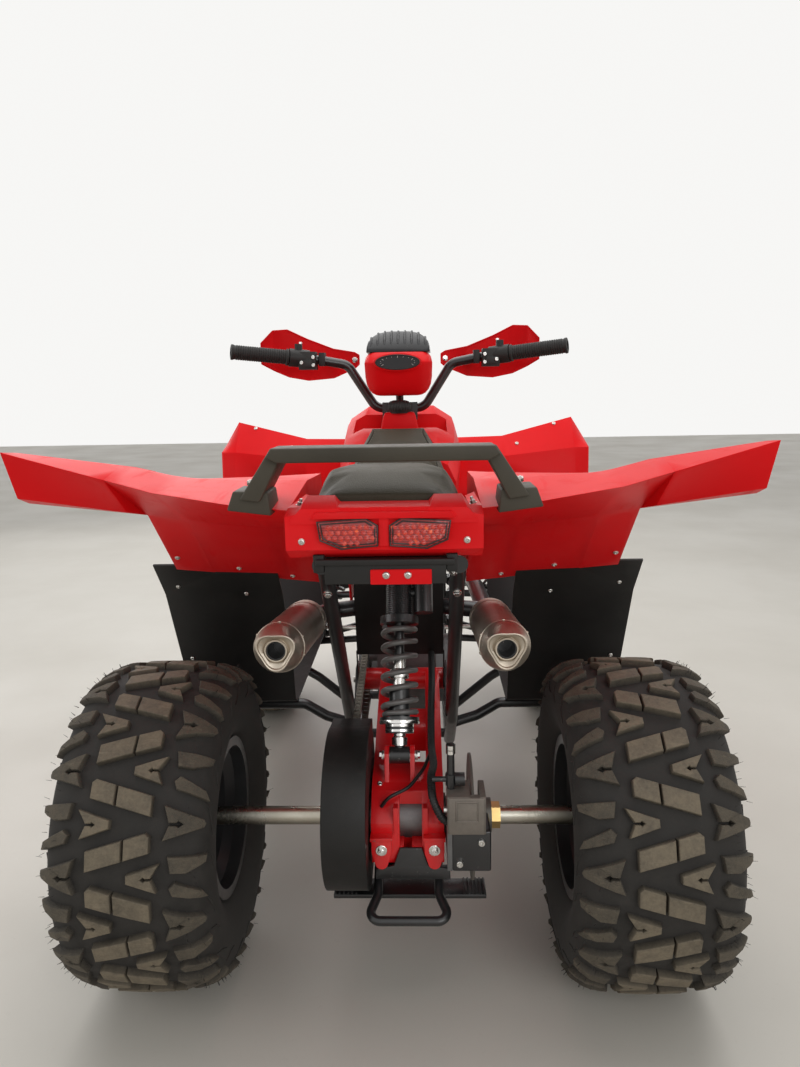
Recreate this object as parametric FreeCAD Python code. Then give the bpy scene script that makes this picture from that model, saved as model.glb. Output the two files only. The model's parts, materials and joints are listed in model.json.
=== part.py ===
import FreeCAD, Part
import math
import os

V = FreeCAD.Vector
os.makedirs("parts", exist_ok=True)

# A chain-driven sport quad bike with a live rear axle, in millimetres.
# x runs to the rider's right, y forward from the rear axle and z up from the floor.
# Every piece is drawn in that frame; publish() moves it so that the middle of the
# whole machine stands over the origin.
axle_to_pivot = 380
pivot_to_front_axle = 820
front_overhang = 326
rear_tyre_radius = 279
wheelbase = axle_to_pivot + pivot_to_front_axle
centre_shift = -(wheelbase + front_overhang - rear_tyre_radius) / 2

# Wheels: sizes of a 22x10-10 rear and a 23x7-10 front tyre.
rear_track_half = 407
rear_tyre_width = 254
front_track_half = 460
front_tyre_radius = 292
front_tyre_width = 178
bead_radius = 127
rim_lip_radius = 140
rim_wall = 4
rim_well_radius = 112
rim_lip_width = 4
rear_rim_half = 102
front_rim_half = 70
rear_disc_offset = 30
front_disc_offset = 12

rear_axle_z = rear_tyre_radius
front_axle_z = front_tyre_radius
bearing_gap = 0.3
seat_gap = 0.3

# Rear axle and what turns with it.
axle_radius = 16
axle_hub_radius = 28
axle_flange_radius = 64
axle_flange_wall = 8
stud_circle = 110
stud_hole_radius = 5.5
stud_count = 4
sprocket_x = -82
sprocket_wall = 7
sprocket_radius = 92
sprocket_hub_radius = 34
brake_disc_x = 131
brake_disc_wall = 4
brake_disc_radius = 108
brake_disc_hub_radius = 30
lock_nut_x = 175
lock_nut_width = 16
lock_nut_radius = 23

# Front suspension, drawn for the right side.
arm_tube = 11
arm_spread = 88
arm_sleeve = 15
sleeve_half = 22
sleeve_gap = 1
arm_bolt_radius = 6
mount_wall = 6
lower_arm_z = 255
upper_arm_z = 400
kingpin_inset = 80
kingpin_half_height = 80
ball_housing_radius = 17
ball_housing_height = 20
ball_stud_radius = 8
knuckle_radius = 15

# Frame of bent tube.
frame_x = 108
frame_tube = 14
lower_tube = 13
cross_tube = 11
frame_bend = 60
mount_near_y = wheelbase - arm_spread - sleeve_half - sleeve_gap
mount_far_y = wheelbase + arm_spread + sleeve_half + sleeve_gap
brace_y = mount_near_y - mount_wall / 2 - cross_tube
swingarm_pivot = (axle_to_pivot, 395)
seat_rail_rear = (-110, 765)
seat_rail_front = (axle_to_pivot + 50, 745)
backbone_top = (axle_to_pivot + 300, 815)
nose_rail = (brace_y - 15, 660)
nose_top = (mount_far_y - 21, 560)
nose_middle = (mount_far_y - 5, 380)
nose_low = (mount_far_y + 9, 215)
lower_rail_rear = (axle_to_pivot + 90, 205)
upright_low = (axle_to_pivot - 88, 338)
upright_top = (-72, 764)
upper_rail = [seat_rail_rear, seat_rail_front, backbone_top, nose_rail, nose_top]
arm_inner_x = frame_x + frame_tube + arm_sleeve + 1

# Swingarm, axle carrier and rear shock.
pivot_tube_radius = 24
pivot_bolt_radius = 8
carrier_radius = 38
carrier_left = -48
carrier_right = 86
arm_wall = 30
shock_x = 5
shock_top = (178, 698)
shock_low = (22, rear_axle_z + 105)
spring_radius = 30
spring_wire = 5
spring_turns = 7
coil_steps = 12

# Chain drive.
front_sprocket = (axle_to_pivot + 90, 420)
front_sprocket_radius = 34
chain_half_width = 7.5
chain_height = 13
chain_gap = 0.3

# Steering.
stem_low = (wheelbase - 190, 380)
stem_high = (axle_to_pivot + 260, 968)
stem_radius = 15
pitman_length = 60
pitman_wall = 6
# Top face of the pitman plate, measured up the stem from its foot.
pitman_level = -13
tie_pin_x = 15
tie_boss_half = 7
tie_rod_radius = 6
tie_eye_height = 12
tie_pin_radius = 5
# Room round and over the outer stud, which drifts as the tilted stem turns.
tie_pin_room = 4.8
tie_rise = 6
bar_radius = 11
grip_start = V(190, stem_high[0] - 18, stem_high[1] + 136)
grip_end = V(384, stem_high[0] - 84, stem_high[1] + 156)
mirror_hole_radius = 4.25
mirror_hole_depth = 16
mirror_boss_top = grip_start.z + 38

# Body panels.
panel_wall = 4
fender_inner_x = 134.3
heel_y = rear_tyre_radius + 13
footboard_z = 362
footrest_tube = 11
hood_seam_y = axle_to_pivot + 471
hood_seam_gap = 2


def slab(axis, outline, low, high):
    """Extrude an outline along x, y or z; its points give the other two axes in order."""
    place = {
        "x": lambda a, b: V(low, a, b),
        "y": lambda a, b: V(a, low, b),
        "z": lambda a, b: V(a, b, low),
    }[axis]
    along = {"x": V(1, 0, 0), "y": V(0, 1, 0), "z": V(0, 0, 1)}[axis]
    corners = [place(a, b) for a, b in outline]
    face = Part.Face(Part.makePolygon(corners + corners[:1]))
    return face.extrude(along * (high - low))


def box(x_range, y_range, z_range):
    corner = V(x_range[0], y_range[0], z_range[0])
    return Part.makeBox(
        x_range[1] - x_range[0], y_range[1] - y_range[0], z_range[1] - z_range[0], corner
    )


def rod(start, end, radius):
    return Part.makeCylinder(radius, (end - start).Length, start, end - start)


def ring(centre, along, radius, bore, height):
    """A short tube centred on a point."""
    direction = V(along).normalize()
    base = centre - direction * (height / 2)
    outer = Part.makeCylinder(radius, height, base, direction)
    return outer.cut(Part.makeCylinder(bore, height + 2, base - direction, direction))


def route(points, bend=None):
    """Straight runs joined by tangent arcs; without a bend each arc is as wide as it fits."""
    edges = []
    start = points[0]
    for before, corner, after in zip(points, points[1:], points[2:]):
        back = before - corner
        ahead = after - corner
        half_turn = (math.pi - back.getAngle(ahead)) / 2
        reach = 0.45 * min(back.Length, ahead.Length)
        if bend is not None:
            reach = min(reach, bend * math.tan(half_turn))
        radius = reach / math.tan(half_turn)
        back.normalize()
        ahead.normalize()
        inward = (back + ahead).normalize()
        centre = corner + inward * (radius / math.cos(half_turn))
        arc_start = corner + back * reach
        arc_end = corner + ahead * reach
        edges.append(Part.LineSegment(start, arc_start).toShape())
        edges.append(Part.Arc(arc_start, centre - inward * radius, arc_end).toShape())
        start = arc_end
    edges.append(Part.LineSegment(start, points[-1]).toShape())
    return Part.Wire(edges)


def tube(points, radius, bend=None):
    path = route(points, bend)
    section = Part.Wire(Part.makeCircle(radius, points[0], points[1] - points[0]))
    return path.makePipeShell([section], True, False)


def loft(sections):
    """Ruled solid through closed sections that have as many corners each."""
    wires = [Part.makePolygon(section + section[:1]) for section in sections]
    return Part.makeLoft(wires, True, True)


def revolve(outline, centre):
    """Turn an outline of (offset along x, radius) points about the x axis through a point."""
    corners = [centre + V(offset, 0, radius) for offset, radius in outline]
    face = Part.Face(Part.makePolygon(corners + corners[:1]))
    return face.revolve(centre, V(1, 0, 0), 360)


def mirrored(shape):
    return shape.mirror(V(0, 0, 0), V(1, 0, 0))


def both(shape):
    return [shape, mirrored(shape)]


def fuse(*shapes):
    return shapes[0].multiFuse(list(shapes[1:])).removeSplitter()


def largest(shape):
    return max(shape.Solids, key=lambda solid: solid.Volume)


def publish(name, *solids):
    shape = solids[0] if len(solids) == 1 else Part.makeCompound(list(solids))
    shape = shape.copy()
    shape.translate(V(0, centre_shift, 0))
    shape.exportStep("parts/" + name + ".step")


def at(point, x=0):
    """A (y, z) pair as a point in the plane x."""
    return V(x, point[0], point[1])


def polar(radius, degrees):
    angle = math.radians(degrees)
    return radius * math.cos(angle), radius * math.sin(angle)


def height_on(corners, y):
    """Height at y of a run of (y, z) corners that goes forward."""
    start, end = [pair for pair in zip(corners, corners[1:]) if pair[0][0] <= y][-1]
    return start[1] + (end[1] - start[1]) * (y - start[0]) / (end[0] - start[0])


def crossing(a, b, c, d):
    """The (y, z) pair where the line from a to b meets the line from c to d."""
    first = (b[0] - a[0], b[1] - a[1])
    second = (d[0] - c[0], d[1] - c[1])
    share = ((c[0] - a[0]) * second[1] - (c[1] - a[1]) * second[0]) / (
        first[0] * second[1] - first[1] * second[0]
    )
    return a[0] + first[0] * share, a[1] + first[1] * share


rear_axle_centre = V(0, 0, rear_axle_z)
rear_wheel_centre = V(rear_track_half, 0, rear_axle_z)
front_wheel_centre = V(front_track_half, wheelbase, front_axle_z)
kingpin_low = V(front_track_half - kingpin_inset, wheelbase + 4, front_axle_z - kingpin_half_height)
kingpin_high = V(front_track_half - kingpin_inset - 14, wheelbase - 8, front_axle_z + kingpin_half_height)
kingpin_axis = (kingpin_high - kingpin_low).normalize()
stem_axis = (at(stem_high) - at(stem_low)).normalize()
stem_back = V(0, -stem_axis.z, stem_axis.y)
upper_stem_seat = at(crossing(stem_low, stem_high, backbone_top, nose_rail))
lower_stem_seat = at(stem_low) + stem_axis * 40


def tyre(centre, radius, width, rim_half):
    """Carcass of plain bands from bead to bead."""
    half = width / 2
    wall = radius - rim_lip_radius
    side = [
        (rim_half - 1, bead_radius),
        (rim_half - 1, rim_lip_radius + 1),
        (half - 4, rim_lip_radius + 0.2 * wall),
        (half, rim_lip_radius + 0.5 * wall),
        (half - 3, radius - 38),
        (half - 12, radius - 18),
        (half - 30, radius - 8),
        (half * 0.35, radius),
    ]
    return revolve(side + [(-x, r) for x, r in side[::-1]], centre)


def stud_pattern(centre, low, high, radius):
    """Cylinders along x on the stud circle."""
    pins = []
    for step in range(stud_count):
        y, z = polar(stud_circle / 2, 45 + 360 * step / stud_count)
        pins.append(rod(centre + V(low, y, z), centre + V(high, y, z), radius))
    return pins


def rim(centre, half, disc_offset):
    """Pressed steel rim with its well, lips, pierced disc and centre hole."""
    lip = half + rim_lip_width
    well = half * 0.62
    inner_bead = bead_radius - rim_wall
    inner_well = rim_well_radius - rim_wall
    barrel = revolve(
        [
            (-lip, rim_lip_radius), (-half, rim_lip_radius), (-half, bead_radius),
            (-half * 0.78, bead_radius), (-well, rim_well_radius), (well, rim_well_radius),
            (half * 0.78, bead_radius), (half, bead_radius), (half, rim_lip_radius),
            (lip, rim_lip_radius), (lip, inner_bead), (half * 0.78 + 3, inner_bead),
            (well + 3, inner_well), (-well - 3, inner_well), (-half * 0.78 - 3, inner_bead),
            (-lip, inner_bead),
        ],
        centre,
    )
    hub_hole = axle_radius + 6
    disc = revolve(
        [
            (disc_offset, hub_hole), (disc_offset + 5, hub_hole), (disc_offset + 5, 66),
            (disc_offset - 6, 92), (disc_offset - 6, inner_well + 1),
            (disc_offset - 11, inner_well + 1), (disc_offset - 11, 90), (disc_offset, 64),
        ],
        centre,
    )
    for pin in stud_pattern(centre, disc_offset - 5, disc_offset + 10, stud_hole_radius):
        disc = disc.cut(pin)
    for step in range(8):
        y, z = polar(80, 22.5 + 45 * step)
        disc = disc.cut(rod(centre + V(-20 + disc_offset, y, z), centre + V(20 + disc_offset, y, z), 8))
    return fuse(barrel, disc)


def rear_wheels():
    carcass = tyre(rear_wheel_centre, rear_tyre_radius, rear_tyre_width, rear_rim_half)
    publish("rear_tyres", *both(carcass))
    publish("rear_rims", *both(rim(rear_wheel_centre, rear_rim_half, rear_disc_offset)))


def rear_axle():
    flange_face = rear_track_half + rear_disc_offset
    axle_end = flange_face + 22
    centre = rear_axle_centre
    shaft = rod(centre - V(axle_end, 0, 0), centre + V(axle_end, 0, 0), axle_radius)
    side = fuse(
        rod(centre + V(flange_face - axle_flange_wall, 0, 0), centre + V(flange_face, 0, 0), axle_flange_radius),
        rod(centre + V(flange_face - 62, 0, 0), centre + V(flange_face - 4, 0, 0), axle_hub_radius),
        *stud_pattern(V(flange_face, 0, rear_axle_z), -4, 20, stud_hole_radius - 0.5),
    )
    publish("rear_axle", fuse(shaft, *both(side)))

    bore = rod(centre - V(axle_end, 0, 0), centre + V(axle_end, 0, 0), axle_radius)
    disc_low = brake_disc_x - brake_disc_wall / 2
    disc_high = brake_disc_x + brake_disc_wall / 2
    disc = rod(centre + V(disc_low, 0, 0), centre + V(disc_high, 0, 0), brake_disc_radius)
    for radius, hole, turn in ((brake_disc_radius - 20, 6, 0), (brake_disc_radius - 44, 12, 30)):
        for step in range(6):
            y, z = polar(radius, 60 * step + turn)
            disc = disc.cut(rod(centre + V(disc_low - 5, y, z), centre + V(disc_high + 5, y, z), hole))
    disc_hub = rod(
        centre + V(brake_disc_x - 6, 0, 0),
        centre + V(lock_nut_x - lock_nut_width / 2, 0, 0),
        brake_disc_hub_radius,
    )
    publish("rear_brake_disc", fuse(disc, disc_hub).cut(bore))

    corners = [polar(lock_nut_radius, 60 * step) for step in range(6)]
    nut = slab(
        "x",
        [(y, rear_axle_z + z) for y, z in corners],
        lock_nut_x - lock_nut_width / 2,
        lock_nut_x + lock_nut_width / 2,
    )
    publish("axle_lock_nut", nut.cut(bore))

    wheel_low = sprocket_x - sprocket_wall / 2
    wheel_high = sprocket_x + sprocket_wall / 2
    wheel = rod(centre + V(wheel_low, 0, 0), centre + V(wheel_high, 0, 0), sprocket_radius)
    for step in range(6):
        y, z = polar(sprocket_radius - 30, 60 * step)
        wheel = wheel.cut(rod(centre + V(wheel_low - 5, y, z), centre + V(wheel_high + 5, y, z), 14))
    boss = rod(centre + V(sprocket_x - 20, 0, 0), centre + V(sprocket_x + 16, 0, 0), sprocket_hub_radius)
    publish("rear_sprocket", fuse(wheel, boss).cut(bore))


def frame_side():
    """Closed loop of bent tube on the right, with its pivot plate, arm pins and shock bracket."""
    lower_points = [nose_middle, nose_low, lower_rail_rear, upright_low, upright_top]
    upper = tube([at(point, frame_x) for point in upper_rail + [nose_middle]], frame_tube, frame_bend)
    lower = tube([at(point, frame_x) for point in lower_points], lower_tube, frame_bend)
    brace_low = height_on([lower_rail_rear, nose_low], brace_y)
    brace = rod(V(frame_x, brace_y, brace_low), V(frame_x, brace_y, height_on(upper_rail, brace_y)), cross_tube)
    y, z = swingarm_pivot
    pivot_plate = slab(
        "x",
        [(y - 112, z - 43), (y - 50, z - 95), (y + 30, z - 65), (y + 45, z + 5), (y + 15, z + 37), (y - 30, z + 37)],
        frame_x - frame_tube,
        frame_x - frame_tube + 6,
    )
    hole = rod(V(0, y, z), V(2 * frame_x, y, z), pivot_bolt_radius)
    pieces = [upper, lower, brace, pivot_plate.cut(hole)]
    for arm_z in (lower_arm_z, upper_arm_z):
        near = V(arm_inner_x, mount_near_y - mount_wall - 2, arm_z)
        far = V(arm_inner_x, mount_far_y + mount_wall + 2, arm_z)
        pieces.append(rod(near, far, arm_bolt_radius))
        for low in (mount_near_y - mount_wall, mount_far_y):
            pieces.append(box((frame_x, arm_inner_x + 10), (low, low + mount_wall), (arm_z - 14, arm_z + 14)))
    # Ears and pin for the top eye of the front shock.
    eye = front_shock_top()
    pieces.append(rod(eye - V(0, shock_eye_half + 8, 0), eye + V(0, shock_eye_half + 8, 0), front_shock_pin))
    for low in (eye.y - shock_eye_half - 7, eye.y + shock_eye_half + 1):
        pieces.append(box((frame_x, eye.x + 12), (low, low + 6), (eye.z - 14, eye.z + 14)))
    # Stub that the rear fender is bolted to.
    stub_y = 120
    stub = at((stub_y, height_on(upper_rail, stub_y)), frame_x)
    pieces.append(rod(stub, V(fender_inner_x - seat_gap, stub.y, stub.z), 9))
    return fuse(*pieces)


shock_eye_half = 16
front_shock_pin = 8


def front_shock_top():
    y = wheelbase - 12
    return V(frame_x + 52, y, height_on(upper_rail, y))


def front_shock_foot():
    """Middle of the shock's lower eye, over the legs of the lower arm."""
    root = V(arm_inner_x, wheelbase, lower_arm_z)
    over = root + (kingpin_low - root) * 0.6
    return V(over.x, wheelbase, over.z + 33)


def frame(block):
    """Cross tubes, with the steering bearings, the shock's lugs and the engine's mounts."""
    sides = both(right_side)
    lower_rail = [lower_rail_rear, nose_low]
    crossings = {
        "tail": (-60, height_on(upper_rail, -60)),
        "shock": (shock_top[0] + 4, height_on(upper_rail, shock_top[0])),
        "seat": (axle_to_pivot + 30, height_on(upper_rail, axle_to_pivot + 30)),
        "backbone": (upper_stem_seat.y, upper_stem_seat.z),
        "steering": (brace_y, lower_stem_seat.z + 16),
        "engine_front": (axle_to_pivot + 370, height_on(lower_rail, axle_to_pivot + 370)),
        "engine_rear": (axle_to_pivot + 130, height_on(lower_rail, axle_to_pivot + 130)),
        "nose_top": (wheelbase + 60, height_on(upper_rail, wheelbase + 60)),
        "nose_low": (wheelbase + 20, height_on(lower_rail, wheelbase + 20)),
    }
    cross = {name: rod(at(point, -frame_x), at(point, frame_x), cross_tube) for name, point in crossings.items()}
    stem_room = rod(at(stem_low) - stem_axis * 50, at(stem_high) + stem_axis * 50, stem_radius + bearing_gap)
    upper_boss = Part.makeCylinder(25, 40, upper_stem_seat - stem_axis * 20, stem_axis)
    lower_boss = Part.makeCylinder(25, 36, lower_stem_seat - stem_axis * 18, stem_axis)
    link = box((-14, 14), (lower_stem_seat.y, brace_y), (lower_stem_seat.z + 2, lower_stem_seat.z + 30))
    cross["backbone"] = fuse(cross["backbone"], upper_boss).cut(stem_room)
    cross["steering"] = fuse(cross["steering"], link, lower_boss).cut(stem_room)
    top_y, top_z = crossings["shock"]
    eye = rod(at(shock_top, shock_x - 60), at(shock_top, shock_x + 60), pivot_bolt_radius)
    for x in (shock_x - 26, shock_x + 18):
        y, z = shock_top
        lug = slab("x", [(y - 16, z - 16), (y + 16, z - 16), (top_y + 10, top_z), (top_y - 12, top_z)], x, x + 8)
        cross["shock"] = fuse(cross["shock"], lug)
    cross["shock"] = cross["shock"].cut(eye)
    for name in ("engine_front", "engine_rear"):
        y, z = crossings[name]
        for x in (-40, 40):
            mount = box((x - 4, x + 4), (y - 10, y + 10), (z, engine_floor + 70))
            mount = min(mount.cut(block).Solids, key=lambda solid: solid.CenterOfMass.z)
            cross[name] = fuse(cross[name], mount)
    publish("frame_cross_tubes", *[bar.cut(sides[0]).cut(sides[1]) for bar in cross.values()])
    publish("frame_right", sides[0])
    publish("frame_left", sides[1])


def swingarm():
    """Red fabricated arm: clamp housing round the axle carrier, two box arms, pivot tube."""
    axle = rear_axle_z
    low_x = carrier_left + 4
    high_x = carrier_right - 4
    housing = slab(
        "x",
        [(-58, axle - 57), (-66, axle + 21), (-24, axle + 61), (6, axle + 73), (60, axle + 73),
         (76, axle + 51), (76, axle - 43), (40, axle - 67), (-30, axle - 67)],
        low_x,
        high_x,
    )
    y, z = swingarm_pivot
    pivot = at(swingarm_pivot)
    tube_half = frame_x - frame_tube - bearing_gap
    pivot_tube = rod(pivot - V(tube_half, 0, 0), pivot + V(tube_half, 0, 0), pivot_tube_radius)
    arms = []
    for x in (low_x, high_x - arm_wall):
        arms.append(
            slab("x", [(50, axle + 73), (70, axle - 17), (y, z - 23), (y + 4, z + 22), (y - 130, z + 17)], x, x + arm_wall)
        )
    cross_plate = slab("x", [(150, axle + 51), (200, axle + 69), (200, axle + 119), (150, axle + 101)], low_x, high_x)
    eye = at(shock_low, shock_x)
    clevis = []
    for x in (shock_x - 27, shock_x + 19):
        y, z = shock_low
        clevis.append(slab("x", [(y - 30, axle + 66), (y + 26, axle + 66), (y + 18, z + 11), (y, z + 18), (y - 18, z + 11)], x, x + 8))
    arm = fuse(housing, pivot_tube, *arms, cross_plate, *clevis)
    arm = arm.cut(rod(V(-200, 0, axle), V(200, 0, axle), carrier_radius))
    arm = arm.cut(rod(pivot - V(200, 0, 0), pivot + V(200, 0, 0), pivot_bolt_radius))
    arm = arm.cut(rod(eye - V(40, 0, 0), eye + V(40, 0, 0), pivot_bolt_radius))
    arm = arm.cut(box((12, 26), (-70, -20), (axle - 74, axle - 17)))
    publish("swingarm", arm)

    carrier = rod(V(carrier_left, 0, axle), V(carrier_right, 0, axle), carrier_radius)
    bracket = slab(
        "x",
        [(-120, axle - 33), (-120, axle + 37), (-60, axle + 41), (20, axle + 26), (30, axle - 29), (-20, axle - 43)],
        carrier_right,
        carrier_right + 8,
    )
    bore = rod(V(-200, 0, axle), V(200, 0, axle), axle_radius + bearing_gap)
    publish("axle_carrier", fuse(carrier, bracket).cut(bore))

    bolts = []
    for point, x, half in ((swingarm_pivot, 0, frame_x), (shock_top, shock_x, 30), (shock_low, shock_x, 31)):
        middle = at(point, x)
        bolts.append(rod(middle - V(half, 0, 0), middle + V(half, 0, 0), pivot_bolt_radius))
    publish("pivot_bolts", *bolts)
    return arm


def caliper():
    axle = rear_axle_z
    body = box((carrier_right + 8, brake_disc_x + 27), (-122, -60), (axle - 33, axle + 39))
    disc_room = rod(V(brake_disc_x - 7, 0, axle), V(brake_disc_x + 7, 0, axle), brake_disc_radius + 5)
    hub_room = rod(V(80, 0, axle), V(200, 0, axle), brake_disc_hub_radius + 5)
    publish("rear_brake_caliper", body.cut(disc_room).cut(hub_room))


def rear_shock():
    top = at(shock_top, shock_x)
    low = at(shock_low, shock_x)
    along = (top - low).normalize()
    length = (top - low).Length
    eye_half = 18
    eyes = [rod(p - V(eye_half, 0, 0), p + V(eye_half, 0, 0), 15) for p in (top, low)]
    spring_low = 66
    spring_high = length - 113
    body = [
        rod(low + along * 10, low + along * (length - 10), 9),
        rod(low + along * 38, low + along * 56, 26),
        rod(low + along * 54, low + along * spring_low, spring_radius + 6),
        rod(low + along * spring_low, low + along * 120, 19),
        rod(low + along * spring_high, low + along * (spring_high + 14), spring_radius + 6),
        rod(low + along * (spring_high + 14), low + along * (length - 25), 24),
    ]
    aside = V(46, -8, 0)
    reservoir = rod(low + along * (length - 89) + aside, low + along * (length - 11) + aside, 18)
    bridge = rod(low + along * (length - 51), low + along * (length - 51) + aside, 9)
    shock = fuse(*eyes, *body, reservoir, bridge)
    for p in (top, low):
        shock = shock.cut(rod(p - V(40, 0, 0), p + V(40, 0, 0), pivot_bolt_radius))
    publish("rear_shock", shock)
    publish("rear_spring", spring(low + along * spring_low, along, spring_high - spring_low, spring_radius, spring_wire, spring_turns))


def spring(base, along, height, radius, wire, turns):
    """Coil of six-sided wire that stands on its seat."""
    rise = (height - 2 * wire) / (coil_steps * turns)
    sections = []
    for step in range(coil_steps * turns + 1):
        across, ahead = polar(1, 360 * step / coil_steps)
        outward = V(across, ahead, 0)
        centre = outward * radius + V(0, 0, wire + rise * step)
        corners = [polar(wire, 60 * corner) for corner in range(6)]
        sections.append([centre + outward * a + V(0, 0, b) for a, b in corners])
    coil = loft(sections)
    coil.Placement = FreeCAD.Placement(base, FreeCAD.Rotation(V(0, 0, 1), along))
    return coil


def chain_loop(offset, half_width):
    """Band round both sprockets, at an offset outside their radii."""
    rear = at((0, rear_axle_z), sprocket_x)
    front = at(front_sprocket, sprocket_x)
    discs = []
    gap = front - rear
    lean = math.asin((sprocket_radius - front_sprocket_radius) / gap.Length)
    bearing = math.atan2(gap.z, gap.y)
    corners = []
    for centre, radius in ((rear, sprocket_radius + offset), (front, front_sprocket_radius + offset)):
        discs.append(rod(centre - V(half_width, 0, 0), centre + V(half_width, 0, 0), radius))
        for side in (1, -1):
            angle = bearing + side * (math.pi / 2 - lean)
            corners.append((centre.y + radius * math.cos(angle), centre.z + radius * math.sin(angle)))
    web = slab("x", [corners[0], corners[2], corners[3], corners[1]], sprocket_x - half_width, sprocket_x + half_width)
    return fuse(web, *discs)


def chain_drive():
    outer = chain_loop(chain_gap + chain_height, chain_half_width)
    inner = chain_loop(chain_gap, chain_half_width + 1)
    publish("drive_chain", outer.cut(inner))
    centre = at(front_sprocket)
    pinion = rod(centre + V(sprocket_x - 3.5, 0, 0), centre + V(sprocket_x + 3.5, 0, 0), front_sprocket_radius)
    nut = rod(centre + V(sprocket_x - 14, 0, 0), centre + V(sprocket_x, 0, 0), 14)
    return fuse(pinion, nut, rod(centre + V(sprocket_x, 0, 0), centre + V(case_left + 10, 0, 0), 15))


def chain_guard():
    """Closed drum over the rear sprocket, open to the front for both chain runs."""
    axle = rear_axle_z
    drum_z = axle + 18
    drum_radius = sprocket_radius + 48
    drum_left = sprocket_x - 40

    def shell(radius, left, right, front):
        drum = rod(V(left, 0, drum_z), V(right, 0, drum_z), radius)
        throat = slab(
            "x",
            [(0, drum_z + radius), (front, drum_z + radius - 14), (front, axle - 96), (0, drum_z - radius)],
            left,
            right,
        )
        return fuse(drum, throat)

    outer = shell(drum_radius, drum_left, carrier_left, 96)
    inner = shell(drum_radius - panel_wall, drum_left + 3, carrier_left - 3, 110)
    axle_room = rod(V(drum_left - 30, 0, axle), V(0, 0, axle), axle_radius + 6)
    mouth = box((drum_left + 3, carrier_left - 3), (70, 160), (axle - 89, axle + 131))
    publish("chain_guard", outer.cut(inner).cut(axle_room).cut(mouth))


def skid_loop(arm):
    """Tube bumper that hangs under the axle carrier."""
    axle = rear_axle_z
    half = [(-34, 24, axle - 55), (-34, -70, axle - 111), (-52, -116, axle - 129)]
    other = [(92, -116, axle - 129), (72, -70, axle - 111), (72, 24, axle - 55)]
    loop = tube([V(*point) for point in half + other], 8, 22)
    publish("skid_loop", largest(loop.cut(arm)))


engine_floor = 240
case_left = -58


def engine():
    """Crankcase with its round covers, and a finned cylinder and head leaning forward."""
    rear = axle_to_pivot + 60
    case = slab(
        "x",
        [(rear, 330), (rear, 470), (rear + 60, 520), (rear + 200, 520), (rear + 330, 440),
         (rear + 330, 330), (rear + 280, engine_floor + 10), (rear + 60, engine_floor)],
        case_left,
        78,
    )
    clutch_cover = rod(V(78, rear + 150, 345), V(120, rear + 150, 345), 84)
    oil_cover = rod(V(78, rear + 250, 380), V(104, rear + 250, 380), 46)
    magneto_cover = rod(V(case_left - 54, rear + 185, 345), V(case_left, rear + 185, 345), 68)
    lean = V(0, 0.3, 1).normalize()
    base = V(8, rear + 160, 500)
    barrel = Part.makeCylinder(42, 160, base, lean)
    across = FreeCAD.Rotation(V(0, 0, 1), lean)
    fins = []
    for level in range(9):
        fin = Part.makeBox(128, 118, 4, V(-64, -59, 30 + 14 * level))
        fin.Placement = FreeCAD.Placement(base, across)
        fins.append(fin)
    head = Part.makeBox(104, 96, 50, V(-52, -48, 150))
    head.Placement = FreeCAD.Placement(base, across)
    block = fuse(case, clutch_cover, oil_cover, magneto_cover, barrel, *fins, head, chain_drive())
    publish("engine", block)
    return block


def exhaust(block):
    """Header from the cylinder head back to a pair of canisters under the fenders."""
    tail_y, tail_z = -140, 636
    muffler_x = 180
    tilt = V(0, 1, -0.14).normalize()
    tail = V(muffler_x, tail_y, tail_z)
    canister = Part.makeCylinder(40, 300, tail + tilt * 26, tilt)
    cone_front = Part.makeCone(40, 22, 46, tail + tilt * 326, tilt)
    cap_ring = [polar(40, angle) for angle in range(0, 360, 30)]
    # Radii of the end face, every 30 degrees from the outer side up: a rounded triangle, point down.
    end_radii = (30, 34, 30, 28, 30, 34, 30, 26, 28, 34, 28, 26)
    end_ring = [polar(radius, 30 * step) for step, radius in enumerate(end_radii)]
    cap = loft([
        [V(muffler_x + x, tail_y + 27, tail_z - 4 + z) for x, z in cap_ring],
        [V(muffler_x + x, tail_y, tail_z + z) for x, z in end_ring],
    ])
    outlet = Part.makeCylinder(15, 70, tail - V(0, 5, 0), tilt)
    muffler = fuse(canister, cone_front, cap).cut(outlet)
    publish("mufflers", *both(muffler))
    inlet = tail + tilt * 372
    head_y = axle_to_pivot + 320
    pipe = tube(
        [V(8, head_y, 640), V(8, head_y + 90, 655), V(40, head_y + 160, 600), V(160, head_y + 100, 540),
         V(176, head_y - 100, 560), V(muffler_x, inlet.y + 90, inlet.z - 12), inlet],
        19,
    )
    link_y, link_z = inlet.y + 70, inlet.z - 9
    link = tube(
        [V(muffler_x - 8, link_y, link_z), V(0, link_y + 30, link_z + 10), V(-muffler_x + 30, link_y, link_z),
         V(-muffler_x, inlet.y, inlet.z)],
        17,
    )
    publish("exhaust_pipe", fuse(pipe, link).cut(muffler).cut(mirrored(muffler)).cut(block))


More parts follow.
